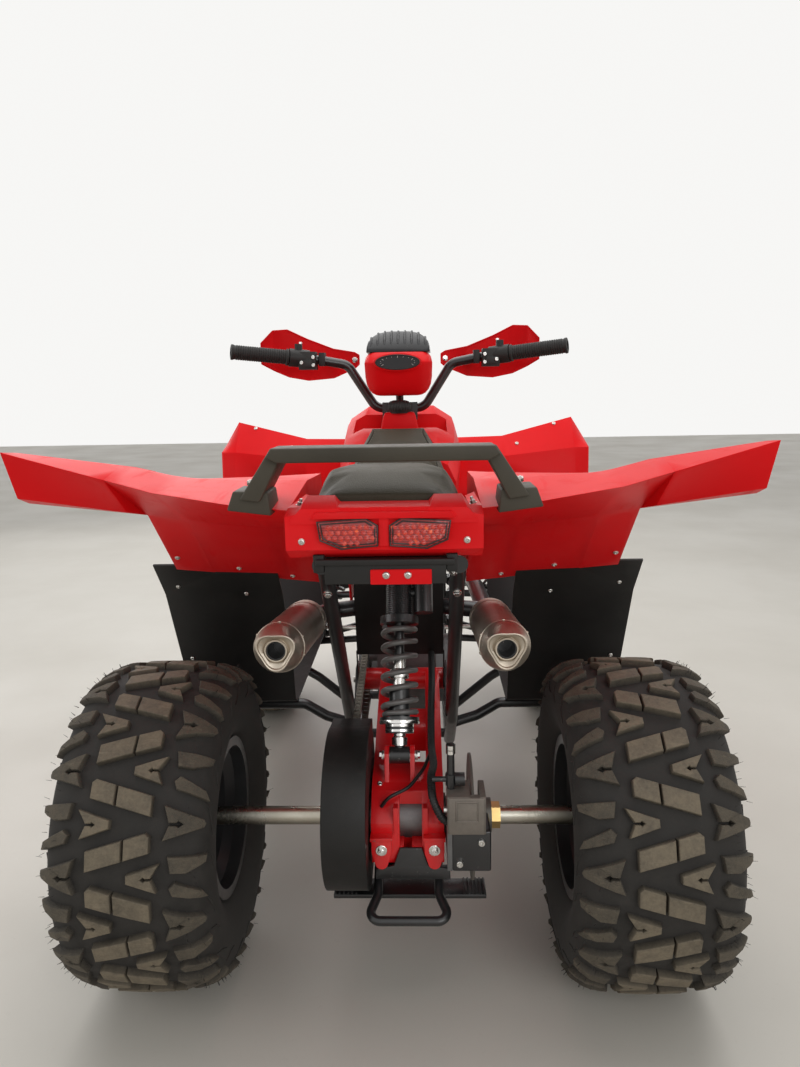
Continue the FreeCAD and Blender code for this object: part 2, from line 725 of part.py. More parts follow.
def seat_form(margin=0):
    """Long saddle: low in the middle, rising to the tank at its nose."""
    rear, nose = -120, axle_to_pivot + 60
    middle = rear + 0.46 * (nose - rear)
    front = rear + 0.75 * (nose - rear)
    rail = [height_on(upper_rail, y) + frame_tube + seat_gap + 0.2 for y in (middle, front)]
    # y, base z, top z, half width at the base, half width at the top
    stations = [
        (rear - 112, 868, 908, 96, 74),
        (rear, 800, 922, 112, 88),
        (middle, rail[0], 850, 132, 104),
        (front, rail[1], 858, 122, 92),
        (nose, 800, 955, 86, 58),
        (nose + 108, 880, 925, 84, 62),
    ]
    sections = []
    for y, low, high, wide, narrow in stations:
        edge = low + 0.55 * (high - low)
        base = low - margin
        wide += margin
        sections.append([
            V(-wide, y, base), V(wide, y, base), V(wide, y, edge),
            V(narrow, y, high + margin), V(-narrow, y, high + margin), V(-wide, y, edge),
        ])
    return loft(sections)


def seat():
    publish("seat", seat_form())


def rear_fender():
    """Wedge-shaped wing: level deck, slanted arch face under it, upswept tip."""
    # x, then y and z of: rear crease, deck middle, deck front, foot, flange, arch middle
    stations = [
        (fender_inner_x, (-236, 872), (-40, 892), (140, 884), (196, 690), (188, 664), (20, 800)),
        (208, (-228, 878), (-30, 890), (145, 880), (196, 694), (186, 672), (10, 806)),
        (345, (-176, 892), (-20, 896), (150, 876), (176, 712), (160, 694), (0, 820)),
        (414, (-176, 912), (-40, 918), (110, 880), (150, 722), (136, 706), (0, 832)),
    ]
    wing = [
        (414, (-176, 912), (-40, 918), (60, 900), (40, 838), (0, 832), (-90, 850)),
        (552, (-196, 956), (-150, 952), (-110, 940), (-112, 880), (-126, 872), (-160, 884)),
    ]
    panels = []
    for table in (stations, wing):
        sections = [[V(x, y, z) for y, z in corners] for x, *corners in table]
        panels.append(loft(sections))
    fender = fuse(*panels)
    publish("rear_fenders", *both(fender))
    return fender


def tail():
    """Red tail box behind the saddle, its cheeks beside it, and the pair of five-sided lamps."""
    cheek_x = fender_inner_x - seat_gap
    # half width, then z of: base, side top, lid top
    lid = loft([
        [V(-cheek_x, y, low), V(cheek_x, y, low), V(cheek_x, y, side), V(70, y, top), V(-70, y, top), V(-cheek_x, y, side)]
        for y, low, side, top in ((-268, 822, 868, 880), (-236, 806, 876, 884))
    ])
    cheek = loft([
        [V(118, -237, 806), V(cheek_x, -237, 806), V(cheek_x, -237, 876), V(118, -237, 872)],
        [V(120, -60, 790), V(cheek_x, -60, 790), V(cheek_x, -60, 872), V(120, -60, 866)],
    ])
    outline = [(8, 828), (8, 856), (24, 866), (90, 862), (86, 836), (58, 824)]
    lamp = slab("y", outline, -274, -250)
    panel = fuse(lid, *both(cheek)).cut(lamp).cut(mirrored(lamp))
    publish("tail_panel", panel)
    publish("tail_lamps", *both(lamp))
    # Box under the lamps, hung from the rear cross tube.
    cross_z = height_on(upper_rail, -60)
    shelf = slab(
        "x",
        [(-252, 770), (-252, 806), (-236, 805), (-100, cross_z + 15), (-62, cross_z + 8), (-62, cross_z - 8),
         (-100, cross_z - 12), (-128, cross_z - 16)],
        -84,
        84,
    )
    cross = rod(V(-frame_x, -60, cross_z), V(frame_x, -60, cross_z), cross_tube)
    publish("tail_bracket", shelf.cut(cross))


def grab_rail(fender):
    bar = slab("y", [(-160, 946), (160, 946), (150, 958), (-150, 958)], -262, -214)
    arm = loft([
        [V(150, y, 940), V(176, y, 936), V(176, y, 948), V(150, y, 958)] for y in (-262, -160)
    ])
    foot = slab("y", [(160, 944), (176, 942), (212, 890), (204, 872), (190, 872)], -226, -150)
    foot = max(foot.cut(fender).Solids, key=lambda solid: solid.CenterOfMass.z)
    publish("grab_rail", fuse(bar, *both(fuse(arm, foot))))


def sheet_outline(profile, wall):
    """Closed outline of a bent sheet that lies to the left of its profile."""
    offset = []
    for index, (y, z) in enumerate(profile):
        before = profile[max(index - 1, 0)]
        after = profile[min(index + 1, len(profile) - 1)]
        run_in = V(y - before[0], z - before[1], 0) if index else V(after[0] - y, after[1] - z, 0)
        run_out = V(after[0] - y, after[1] - z, 0) if index < len(profile) - 1 else run_in
        side_in = V(-run_in.y, run_in.x, 0).normalize()
        side_out = V(-run_out.y, run_out.x, 0).normalize()
        mitre = (side_in + side_out).normalize()
        reach = wall / mitre.dot(side_in)
        offset.append((y + mitre.x * reach, z + mitre.y * reach))
    return list(profile) + offset[::-1]


def footwell(rear_wing, front_wing):
    """Splash panel behind the heel, footboard and toe panel in one bent sheet."""
    toe_y = wheelbase - 400
    # y and z along the sheet from the fender down, forward and up to the front fender
    profile = [
        (heel_y - 148, 712), (heel_y - 87, 640), (heel_y, 460), (heel_y + 14, footboard_z + 12),
        (heel_y + 38, footboard_z), (toe_y, footboard_z), (toe_y + 42, 430), (toe_y + 72, 560), (toe_y + 110, 720),
    ]
    sheet = slab("x", sheet_outline(profile, panel_wall), 228, 462)
    publish("footwells", *both(largest(sheet.cut(rear_wing).cut(front_wing))))


def footrests():
    bar_z = footboard_z - footrest_tube
    upright_z = height_on([(upright_low[0], upright_low[1]), (lower_rail_rear[0], lower_rail_rear[1])], heel_y + 38)
    rear_y = heel_y + 53
    front_y = axle_to_pivot + 260
    front_z = height_on([lower_rail_rear, nose_low], front_y)
    rear = tube(
        [V(frame_x, heel_y + 38, upright_z), V(frame_x + 58, heel_y + 44, bar_z - 25), V(frame_x + 106, rear_y, bar_z),
         V(440, rear_y, bar_z)],
        footrest_tube, 30,
    )
    front = tube(
        [V(frame_x, front_y, front_z), V(220, front_y, bar_z - 50), V(300, front_y, bar_z), V(440, front_y, bar_z)],
        footrest_tube, 60,
    )
    bars = [largest(bar.cut(right_side)) for bar in (rear, front)]
    publish("footrest_bars", *both(bars[0]), *both(bars[1]))


def suspension_arms():
    """Upper and lower wishbones of the right side, with their ball housings."""
    arms = []
    for ball, inner_z in ((kingpin_low, lower_arm_z), (kingpin_high, upper_arm_z)):
        housing = Part.makeCylinder(
            ball_housing_radius, ball_housing_height, ball - kingpin_axis * (ball_housing_height / 2), kingpin_axis
        )
        legs = []
        for side in (-1, 1):
            root = V(arm_inner_x, wheelbase + side * arm_spread, inner_z)
            legs.append(rod(root, ball, arm_tube))
            legs.append(rod(root - V(0, sleeve_half, 0), root + V(0, sleeve_half, 0), arm_sleeve))
        stud = rod(ball - kingpin_axis * 30, ball + kingpin_axis * 30, ball_stud_radius + bearing_gap)
        reach = V(0, arm_spread + 40, 0)
        root = V(arm_inner_x, wheelbase, inner_z)
        bolt = rod(root - reach, root + reach, arm_bolt_radius)
        arms.append(fuse(housing, *legs).cut(stud).cut(bolt))
    lower, upper = arms
    foot = front_shock_foot()
    leg_half = arm_spread * 0.4 + 6
    tie_z = foot.z - 33
    bracket = [
        rod(V(foot.x, wheelbase - leg_half, tie_z), V(foot.x, wheelbase + leg_half, tie_z), 9),
        rod(foot - V(0, shock_eye_half + 9, 0), foot + V(0, shock_eye_half + 9, 0), front_shock_pin),
    ]
    for low in (wheelbase - shock_eye_half - 7, wheelbase + shock_eye_half + 1):
        bracket.append(box((foot.x - 12, foot.x + 12), (low, low + 6), (tie_z, foot.z + 12)))
    gap = ball_housing_height / 2 + 0.5
    knuckle_room = rod(kingpin_low + kingpin_axis * gap, kingpin_high - kingpin_axis * gap, knuckle_radius + 6)
    lower = fuse(lower, *bracket).cut(knuckle_room)
    upper = upper.cut(knuckle_room)
    publish("suspension_arms", *both(lower), *both(upper))


def front_shocks():
    low = front_shock_foot()
    high = front_shock_top()
    along = (high - low).normalize()
    length = (high - low).Length
    spring_low = 46
    spring_high = length - 98
    parts = [
        rod(low - V(0, shock_eye_half, 0), low + V(0, shock_eye_half, 0), 15),
        rod(high - V(0, shock_eye_half, 0), high + V(0, shock_eye_half, 0), 14),
        rod(low + along * 10, low + along * (length - 10), 8),
        rod(low + along * 34, low + along * spring_low, 32),
        rod(low + along * spring_low, low + along * 130, 17),
        rod(low + along * spring_high, low + along * (spring_high + 12), 32),
        rod(low + along * (spring_high + 12), low + along * (length - 30), 20),
    ]
    shock = fuse(*parts)
    for eye in (low, high):
        shock = shock.cut(rod(eye - V(0, 40, 0), eye + V(0, 40, 0), front_shock_pin))
    publish("front_shocks", *both(shock))
    publish("front_springs", *both(spring(low + along * spring_low, along, spring_high - spring_low, 26, 4.5, 8)))


def tie_pin_foot():
    """Middle of the right knuckle's steering arm end, as far from the kingpin as the pitman's stud from the stem."""
    arm_z = front_axle_z - 16
    share = (arm_z - kingpin_low.z) / (kingpin_high.z - kingpin_low.z)
    return kingpin_low + (kingpin_high - kingpin_low) * share + V(tie_pin_x, -pitman_length, 0)


def knuckles():
    """Upright on the kingpin with its spindle, steering arm and brake caliper."""
    gap = ball_housing_height / 2 + 1
    column = rod(kingpin_low + kingpin_axis * gap, kingpin_high - kingpin_axis * gap, knuckle_radius)
    studs = rod(kingpin_low - kingpin_axis * 12, kingpin_high + kingpin_axis * 12, ball_stud_radius)
    mid_x = front_track_half - kingpin_inset - 6
    mid = V(mid_x, wheelbase, front_axle_z)
    spindle = rod(mid, V(front_track_half + 14, wheelbase, front_axle_z), 12)
    flange = rod(mid, V(mid_x + 22, wheelbase, front_axle_z), 24)
    arm_end = tie_pin_foot()
    root_y = wheelbase + 4
    half = tie_boss_half
    pin_top = half + tie_eye_height + tie_rise + 2
    arm = fuse(
        loft([
            [V(mid_x - 12, root_y, arm_end.z - 12), V(mid_x + 12, root_y, arm_end.z - 12),
             V(mid_x + 12, root_y, arm_end.z + half), V(mid_x - 12, root_y, arm_end.z + half)],
            [arm_end + V(-10, 0, -half), arm_end + V(10, 0, -half), arm_end + V(10, 0, half), arm_end + V(-10, 0, half)],
        ]),
        rod(arm_end - V(0, 0, half), arm_end + V(0, 0, half), 12),
        rod(arm_end, arm_end + V(0, 0, pin_top), tie_pin_radius),
    )
    inner_x = front_track_half - 76
    bracket = box((inner_x, inner_x + 8), (wheelbase, wheelbase + 92), (front_axle_z - 22, front_axle_z + 22))
    body = box((inner_x + 8, inner_x + 48), (wheelbase + 50, wheelbase + 92), (front_axle_z - 28, front_axle_z + 28))
    disc_room = rod(V(inner_x + 20, wheelbase, front_axle_z), V(inner_x + 36, wheelbase, front_axle_z), 85)
    hub_room = rod(V(inner_x + 12, wheelbase, front_axle_z), V(inner_x + 116, wheelbase, front_axle_z), 40)
    knuckle = fuse(column, studs, spindle, flange, arm, bracket, body.cut(disc_room).cut(hub_room))
    publish("knuckle_right", knuckle)
    publish("knuckle_left", mirrored(knuckle))


def front_wheels():
    carcass = tyre(front_wheel_centre, front_tyre_radius, front_tyre_width, front_rim_half)
    wheel = rim(front_wheel_centre, front_rim_half, front_disc_offset)
    flange_face = front_track_half + front_disc_offset
    inner_x = front_track_half - 59

    def turned(low, high, radius):
        return rod(V(low, wheelbase, front_axle_z), V(high, wheelbase, front_axle_z), radius)

    hub = fuse(
        turned(inner_x, flange_face + 24, 21),
        turned(flange_face - 8, flange_face, axle_flange_radius),
        turned(inner_x + 9, inner_x + 13, 80),
        turned(inner_x + 5, flange_face, 32),
        *stud_pattern(V(flange_face, wheelbase, front_axle_z), -4, 18, stud_hole_radius - 0.5),
    )
    hub = hub.cut(turned(inner_x - 20, front_track_half + 18, 12 + bearing_gap))
    for side, turn in (("right", lambda shape: shape), ("left", mirrored)):
        publish("front_tyre_" + side, turn(carcass))
        publish("front_rim_" + side, turn(wheel))
        publish("front_hub_" + side, turn(hub))


def tie_rods():
    """Each rod hangs from its stud under the pitman plate and stands on the knuckle's arm."""
    level = pitman_level - pitman_wall - tie_eye_height / 2 - seat_gap
    inner = at(stem_low, tie_pin_x) + stem_axis * level + stem_back * pitman_length
    outer = tie_pin_foot() + V(0, 0, tie_boss_half + seat_gap + tie_eye_height / 2)
    run = (outer - inner).normalize()
    rod_eyes = [
        rod(inner + run * 11, outer - run * 13, tie_rod_radius),
        ring(inner, stem_axis, 13, tie_pin_radius + bearing_gap, tie_eye_height),
        ring(outer, V(0, 0, 1), 15.5, tie_pin_radius + tie_pin_room, tie_eye_height),
    ]
    bores = [
        rod(inner - stem_axis * 20, inner + stem_axis * 20, tie_pin_radius + bearing_gap),
        rod(outer - V(0, 0, 20), outer + V(0, 0, 20), tie_pin_radius + tie_pin_room),
    ]
    right = fuse(*rod_eyes).cut(bores[0]).cut(bores[1])
    publish("tie_rod_right", right)
    publish("tie_rod_left", mirrored(right))


def steering():
    low = at(stem_low)
    high = at(stem_high)
    column = rod(low - stem_axis * 16, high, stem_radius)
    collar = rod(low + stem_axis * 4, low + stem_axis * 16, 22)
    half = tie_pin_x + 12
    plate_corners = ((-20, -20), (20, -20), (half, pitman_length + 12), (-half, pitman_length + 12))
    plate = loft([
        [low + stem_axis * level + V(x, 0, 0) + stem_back * back for x, back in plate_corners]
        for level in (pitman_level, pitman_level - pitman_wall)
    ])
    pins = []
    for x in (-tie_pin_x, tie_pin_x):
        foot = low + V(x, 0, 0) + stem_back * pitman_length
        pins.append(rod(foot + stem_axis * (pitman_level - pitman_wall - tie_eye_height - 3), foot + stem_axis * pitman_level, tie_pin_radius))
    clamp = box((-42, 42), (high.y - 24, high.y + 24), (high.z - 8, high.z + 34))
    publish("steering_stem", fuse(column, collar, plate, *pins, clamp, pod_post()).cut(handlebar_tube()))
    publish("handlebar", handlebar_tube())


def pod_post():
    y, z = stem_high
    return rod(V(0, y - 6, z + 7), V(0, y - 36, z + 72), 9)


def handlebar_tube():
    y, z = stem_high
    half = [V(58, y, z + 20), V(124, y - 6, z + 124), grip_start, grip_end]
    points = [V(-p.x, p.y, p.z) for p in half[::-1]] + half
    return tube(points, bar_radius, 34)


def hand_gear():
    """Grips, switch blocks with their levers, and the guards in front of them."""
    along = (grip_end - grip_start).normalize()
    grip = rod(grip_start + along * 76, grip_end + along * 4, 16)
    bar = handlebar_tube()
    publish("grips", *both(grip.cut(bar)))
    block = rod(grip_start + along * 26, grip_start + along * 74, 21)
    root = grip_start + along * 40
    tip = grip_end + V(-20, 0, 0)
    lever = loft([
        [root + V(0, 12, -5), root + V(0, 46, -5), root + V(0, 46, 5), root + V(0, 12, 5)],
        [root + V(30, 38, -4), root + V(30, 52, -4), root + V(30, 52, 4), root + V(30, 38, 4)],
        [tip + V(0, 44, -4), tip + V(0, 54, -4), tip + V(0, 54, 4), tip + V(0, 44, 4)],
    ])
    perch = grip_start + along * 50
    mirror_boss = rod(perch, V(perch.x, perch.y, mirror_boss_top), 9)
    mirror_hole = rod(
        V(perch.x, perch.y, mirror_boss_top - mirror_hole_depth),
        V(perch.x, perch.y, mirror_boss_top + 8),
        mirror_hole_radius,
    )
    publish("hand_controls", *both(fuse(block, lever, mirror_boss).cut(bar).cut(mirror_hole)))

    # Along the bar from the grip's inner end: x, y, low z, high z of the guard's outer face
    stations = [(-40, 84, -22, 18), (24, 94, -34, 46), (132, 80, -26, 86), (182, 28, -12, 52), (190, -12, 0, 34)]
    sections = []
    for x, y, low, high in stations:
        point = grip_start + V(x, y, 0)
        sections.append([point + V(0, 0, low), point + V(0, 0, high), point + V(0, -6, high), point + V(0, -6, low)])
    stay = rod(grip_start + V(8, 0, 0), grip_start + V(8, 90, 0), 6)
    publish("handguards", *both(fuse(loft(sections), stay).cut(bar)))


def instruments():
    """Pod with its oval dial on a post over the bar clamp, and the ribbed visor above."""
    y, z = stem_high
    # height over the stem's top, half width, near y, far y
    stations = [(50, 50, -74, -18), (92, 76, -132, 0), (124, 78, -150, 2), (148, 66, -120, 0)]
    sections = []
    for up, wide, near, far in stations:
        outline = [(-wide, near + 16), (-wide + 18, near), (wide - 18, near), (wide, near + 16), (wide, far), (-wide, far)]
        sections.append([V(a, y + b, z + up) for a, b in outline])
    pod = loft(sections)
    ring_points = [polar(1, angle) for angle in range(0, 360, 30)]
    dial = slab("y", [(49 * a, z + 124 + 16 * b) for a, b in ring_points], y - 156, y - 128)
    publish("instrument_pod", pod.cut(dial).cut(pod_post()))
    publish("dial", dial)
    # height over the stem's top, near y, far y
    rises = ((148 + seat_gap, -100, -4), (172, -80, -10), (188, -60, -18))
    visor = loft([
        [V(-70, y + near, z + up), V(70, y + near, z + up), V(66, y + far, z + up), V(-66, y + far, z + up)]
        for up, near, far in rises
    ])
    publish("visor", visor)


def half_outline(y, pairs):
    """Closed section at y from its right-hand (x, z) corners, bottom first."""
    right = [V(x, y, z) for x, z in pairs]
    return right + [V(-p.x, y, p.z) for p in right[::-1]]


def rail_seat(y):
    """Height of the upper tube's crest at y, where a cover stands on it."""
    return height_on(upper_rail, y) + frame_tube - 2


def tank_cover():
    # y from the pivot, then x and z of: foot (height from the rail), side, shoulder, top
    table = [
        (46, 124, (126, 830), (108, 868), (84, 880)),
        (180, 136, (142, 862), (128, 915), (86, 932)),
        (300, 142, (148, 884), (132, 944), (88, 968)),
        (365, 142, (146, 893), (128, 960), (82, 990)),
        (470, 140, (148, 880), (126, 940), (86, 962)),
    ]
    sections = []
    for forward, foot_x, *corners in table:
        y = min(axle_to_pivot + forward, hood_seam_y - 1)
        sections.append(half_outline(y, [(foot_x, rail_seat(y)), *corners]))
    cover = loft(sections)
    room = rod(at(stem_low), at(stem_high) + stem_axis * 80, 42)
    y, z = stem_high
    bar_room = box((-112, 112), (y - 48, y + 48), (z - 38, z + 42))
    for cutter in (seat_form(0.5), room, bar_room, right_side, mirrored(right_side)):
        cover = cover.cut(cutter)
    publish("tank_cover", cover)
    return cover


def front_body():
    lean_y = brace_y - 15
    start = hood_seam_y - 1 + hood_seam_gap
    # y, then x and z of: foot, side, shoulder, top
    stations = [
        (start, (127, rail_seat(start)), (127, 880), (112, 938), (72, 958)),
        (lean_y, (127, rail_seat(lean_y)), (127, 850), (112, 892), (70, 902)),
        (wheelbase + 100, (127, 640), (127, 760), (110, 802), (66, 814)),
        (wheelbase + 240, (100, 600), (100, 690), (80, 716), (50, 722)),
    ]
    hood = loft([half_outline(y, pairs) for y, *pairs in stations])
    lamp = slab("y", [(30, 630), (34, 676), (70, 694), (94, 682), (88, 640)], wheelbase + 205, wheelbase + 252)
    room = rod(at(stem_low), at(stem_high) + stem_axis * 80, 42)
    for cutter in (lamp, mirrored(lamp), room, right_side, mirrored(right_side)):
        hood = hood.cut(cutter)
    publish("nose", largest(hood))
    publish("headlamps", *both(lamp))


def front_fender():
    # x, then y from the front axle and z of: rear foot, rear crease, crest, brow, front lip,
    # arch front, arch rear
    wing = [
        (127, (-295, 700), (-270, 838), (-210, 892), (70, 796), (230, 690), (50, 745), (-215, 800)),
        (280, (-295, 700), (-275, 842), (-210, 895), (70, 800), (230, 700), (50, 745), (-215, 802)),
        (480, (-270, 762), (-255, 862), (-190, 945), (100, 812), (220, 730), (70, 752), (-200, 820)),
        (522, (-250, 790), (-245, 862), (-180, 880), (90, 780), (200, 722), (70, 738), (-190, 800)),
    ]
    fender = loft([[V(x, wheelbase + y, z) for y, z in corners] for x, *corners in wing])
    publish("front_fenders", *both(fender))
    return fender


def front_bumper():
    tip = wheelbase + front_overhang - 13
    low_z = 240
    foot = V(frame_x, height_back(low_z), low_z)
    half = [foot, V(112, tip - 73, 290), V(114, tip, 420), V(110, tip - 7, 560), V(50, tip - 15, 622)]
    hoop = tube(half + [V(-p.x, p.y, p.z) for p in half[::-1]], 13, 60)
    bar = rod(V(-104, tip - 1, 430), V(104, tip - 1, 430), 10)
    stay_z = 500
    stay = rod(V(frame_x, height_back(stay_z), stay_z), V(112, tip - 4, stay_z), 9)
    bumper = fuse(hoop, bar, *both(stay))
    publish("front_bumper", largest(bumper.cut(right_side).cut(mirrored(right_side))))


def height_back(z):
    """y of the frame's front tubes at a height under the nose."""
    corners = [nose_low[::-1], nose_middle[::-1], nose_top[::-1]]
    return height_on(corners, z)


def side_panels(cover):
    y = axle_to_pivot
    inner_x = frame_x + frame_tube + seat_gap
    outline = [(y + 72, 758), (y + 90, 690), (y + 180, 520), (y + 260, 560), (y + 450, 640), (y + 470, 760), (y + 310, 826)]
    plate = slab("x", outline, inner_x, inner_x + 6)
    publish("side_panels", *both(largest(plate.cut(cover))))


def inner_guard():
    """Upright splash plate ahead of the shock, hung from the seat rails and footed on the pivot plates."""
    top_y = shock_top[0] + 56
    top_z = height_on(upper_rail, top_y) + 2
    pivot_y, pivot_z = swingarm_pivot
    foot_y = pivot_y - 78
    foot_z = pivot_z + 83
    plate = slab("x", [(top_y, top_z), (top_y + 4, top_z), (foot_y + 4, foot_z), (foot_y, foot_z)], -frame_x + 16, frame_x - 16)
    ear = slab("x", [(top_y, top_z), (top_y + 4, top_z), (top_y + 12, top_z - 30), (top_y + 8, top_z - 30)], frame_x - 20, frame_x)
    plate_x = frame_x - frame_tube
    # The legs are thin sheet, because the chain runs beside the left one.
    leg = slab(
        "x",
        [(foot_y, foot_z + 8), (foot_y + 4, foot_z + 8), (foot_y + 24, pivot_z), (foot_y + 20, pivot_z)],
        plate_x - 3,
        plate_x,
    )
    guard = fuse(plate, *both(ear), *both(leg))
    publish("inner_guard", guard.cut(right_side).cut(mirrored(right_side)))


right_side = frame_side()
for build in (rear_wheels, rear_axle, caliper, rear_shock, chain_guard, seat, tail, suspension_arms,
              front_shocks, front_wheels, steering, tie_rods, knuckles, hand_gear, instruments,
              front_body, front_bumper, inner_guard, footrests):
    build()
side_panels(tank_cover())
skid_loop(swingarm())
rear_wing = rear_fender()
grab_rail(rear_wing)
footwell(rear_wing, front_fender())
engine_block = engine()
frame(engine_block)
exhaust(engine_block)
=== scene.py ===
import bmesh
import bpy
import json
import math
import random
from mathutils import Matrix, Vector

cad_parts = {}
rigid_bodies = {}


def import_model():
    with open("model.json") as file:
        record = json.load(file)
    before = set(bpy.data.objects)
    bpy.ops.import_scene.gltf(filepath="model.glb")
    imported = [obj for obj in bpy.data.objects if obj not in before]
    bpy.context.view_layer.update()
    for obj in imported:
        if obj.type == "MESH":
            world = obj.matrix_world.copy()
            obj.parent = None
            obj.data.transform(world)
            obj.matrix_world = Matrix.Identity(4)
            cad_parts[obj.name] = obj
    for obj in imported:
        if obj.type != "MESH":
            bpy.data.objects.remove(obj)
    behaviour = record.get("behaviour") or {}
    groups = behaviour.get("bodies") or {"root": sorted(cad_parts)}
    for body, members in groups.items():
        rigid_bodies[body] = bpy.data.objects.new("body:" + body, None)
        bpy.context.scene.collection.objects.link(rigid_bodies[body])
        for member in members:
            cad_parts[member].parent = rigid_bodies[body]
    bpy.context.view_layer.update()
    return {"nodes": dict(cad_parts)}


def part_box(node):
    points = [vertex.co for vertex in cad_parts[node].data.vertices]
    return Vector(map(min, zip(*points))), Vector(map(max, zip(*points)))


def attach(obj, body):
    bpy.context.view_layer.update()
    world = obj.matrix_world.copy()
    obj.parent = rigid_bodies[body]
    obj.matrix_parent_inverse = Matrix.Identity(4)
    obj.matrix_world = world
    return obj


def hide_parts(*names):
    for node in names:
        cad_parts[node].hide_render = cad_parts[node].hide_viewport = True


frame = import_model()
nodes = frame["nodes"]
print("loaded", len(nodes), "nodes")


def middleOf(node):
    low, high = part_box(node)
    return (Vector(low) + Vector(high)) / 2


rearAxle = middleOf("rear_axle")  # every size below is measured from here or from a node's own box


class Link:
    # an output of a node; arithmetic on it adds Math nodes
    def __init__(self, graph, socket):
        self.graph = graph
        self.socket = socket

    def maths(self, operation, *values):
        return self.graph.add("ShaderNodeMath", {"operation": operation}, dict(enumerate(values)))

    def __add__(self, other):
        return self.maths("ADD", self, other)

    def __radd__(self, other):
        return self.maths("ADD", other, self)

    def __sub__(self, other):
        return self.maths("SUBTRACT", self, other)

    def __rsub__(self, other):
        return self.maths("SUBTRACT", other, self)

    def __mul__(self, other):
        return self.maths("MULTIPLY", self, other)


class Graph:
    def __init__(self, tree):
        self.tree = tree

    def add(self, kind, settings=None, inputs=None, output=0):
        node = self.tree.nodes.new(kind)
        for name, value in (settings or {}).items():
            setattr(node, name, value)
        for name, value in (inputs or {}).items():
            if isinstance(value, Link):
                self.tree.links.new(value.socket, node.inputs[name])
            else:
                node.inputs[name].default_value = value
        return Link(self, node.outputs[output] if node.outputs else None)


class Finish(Graph):
    # a material whose nodes are written as expressions
    def __init__(self, name):
        self.material = bpy.data.materials.new(name)
        self.material.use_nodes = True
        self.material.node_tree.nodes.clear()
        super().__init__(self.material.node_tree)
        self.place = self.add("ShaderNodeTexCoord", output="Object")

    def stretched(self, x, y, z):
        return self.add("ShaderNodeMapping", {}, {"Vector": self.place, "Scale": (x, y, z)})

    def noise(self, scale, detail=3, rough=0.55, place=None):
        inputs = {"Vector": place or self.place, "Scale": scale, "Detail": detail, "Roughness": rough}
        return self.add("ShaderNodeTexNoise", {}, inputs, "Fac")

    def cells(self, scale, feature="F1", place=None):
        inputs = {"Vector": place or self.place, "Scale": scale}
        return self.add("ShaderNodeTexVoronoi", {"feature": feature}, inputs, "Distance")

    def bands(self, axis, scale):
        inputs = {"Vector": self.place, "Scale": scale}
        return self.add("ShaderNodeTexWave", {"bands_direction": axis}, inputs, "Fac")

    def attribute(self, name):
        return self.add("ShaderNodeAttribute", {"attribute_name": name}, {}, "Fac")

    def between(self, value, start, end):
        # 0 below start, 1 above end
        inputs = {"Value": value, "From Min": start, "From Max": end}
        return self.add("ShaderNodeMapRange", {"clamp": True}, inputs)

    def patches(self, start, end, *noise):
        return self.between(self.noise(*noise), start, end)

    def blend(self, share, *colours):
        first, second = (colour if isinstance(colour, Link) else (*colour, 1) for colour in colours)
        return self.add("ShaderNodeMix", {"data_type": "RGBA"}, {0: share, 6: first, 7: second}, 2)

    def edges(self, start=0.52, end=0.6):
        return self.between(self.add("ShaderNodeNewGeometry", output="Pointiness"), start, end)

    def bump(self, height, depth, strength=1.0, under=None):
        inputs = {"Height": height, "Distance": depth, "Strength": strength}
        if under:
            inputs["Normal"] = under
        return self.add("ShaderNodeBump", {}, inputs)

    def surface(self, colour, rough, normal=None, **fixed):
        inputs = {"Base Color": colour, "Roughness": rough}
        if normal:
            inputs["Normal"] = normal
        for name, value in fixed.items():
            inputs[name.replace("_", " ")] = value
        shader = self.add("ShaderNodeBsdfPrincipled", {}, inputs)
        self.add("ShaderNodeOutputMaterial", {}, {"Surface": shader})
        return self.material


def shade(colour, factor, lift=0.0, most=1):
    # the colour made darker or paler, no channel above most
    return tuple(min(most, channel * factor + lift) for channel in colour)


def mouldedPlastic(name, colour, deep, rough, grain, coat):
    # injection-moulded panel: slight orange peel, dusty patches, paler rubbed edges
    finish = Finish(name)
    cloud = finish.noise(3.5, 4)
    tint = finish.blend(finish.between(cloud, 0.35, 0.7), colour, deep)
    dust = finish.patches(0.55, 0.8, 14, 5, 0.7)
    tint = finish.blend(dust * 0.03, tint, (0.6, 0.4, 0.3))
    tint = finish.blend(finish.edges() * 0.25, tint, shade(colour, 1.5, 0.03))
    scratch = finish.noise(60, 2, place=finish.stretched(1, 0.12, 0.5))
    roughness = rough + dust * 0.16 + finish.between(scratch, 0.6, 0.75) * 0.12
    peel = finish.bump(finish.noise(260, 2), grain, 0.5)
    waves = finish.bump(finish.noise(9, 2), 0.004, 0.06, peel)
    return finish.surface(tint, roughness, waves, Coat_Weight=coat, Coat_Roughness=0.12, IOR=1.45,
                          Specular_IOR_Level=0.1)


def grainedPlastic(name, colour, rough, depth=0.0004):
    # black panels with a leather-like moulded grain
    finish = Finish(name)
    cloud = finish.noise(6, 4)
    tint = finish.blend(finish.between(cloud, 0.3, 0.75), colour, shade(colour, 1.9, 0.006))
    chalk = finish.patches(0.58, 0.85, 22, 6, 0.75)
    tint = finish.blend(chalk * 0.05, tint, (0.3, 0.27, 0.22))
    tint = finish.blend(finish.edges() * 0.3, tint, shade(colour, 3, 0.03))
    grain = finish.cells(900) * 0.6 + finish.noise(700, 2) * 0.5
    roughness = rough + chalk * 0.15 - finish.patches(0.55, 0.7, 40, 3) * 0.08
    return finish.surface(tint, roughness, finish.bump(grain, depth, 0.45), IOR=1.46, Specular_IOR_Level=0.34)


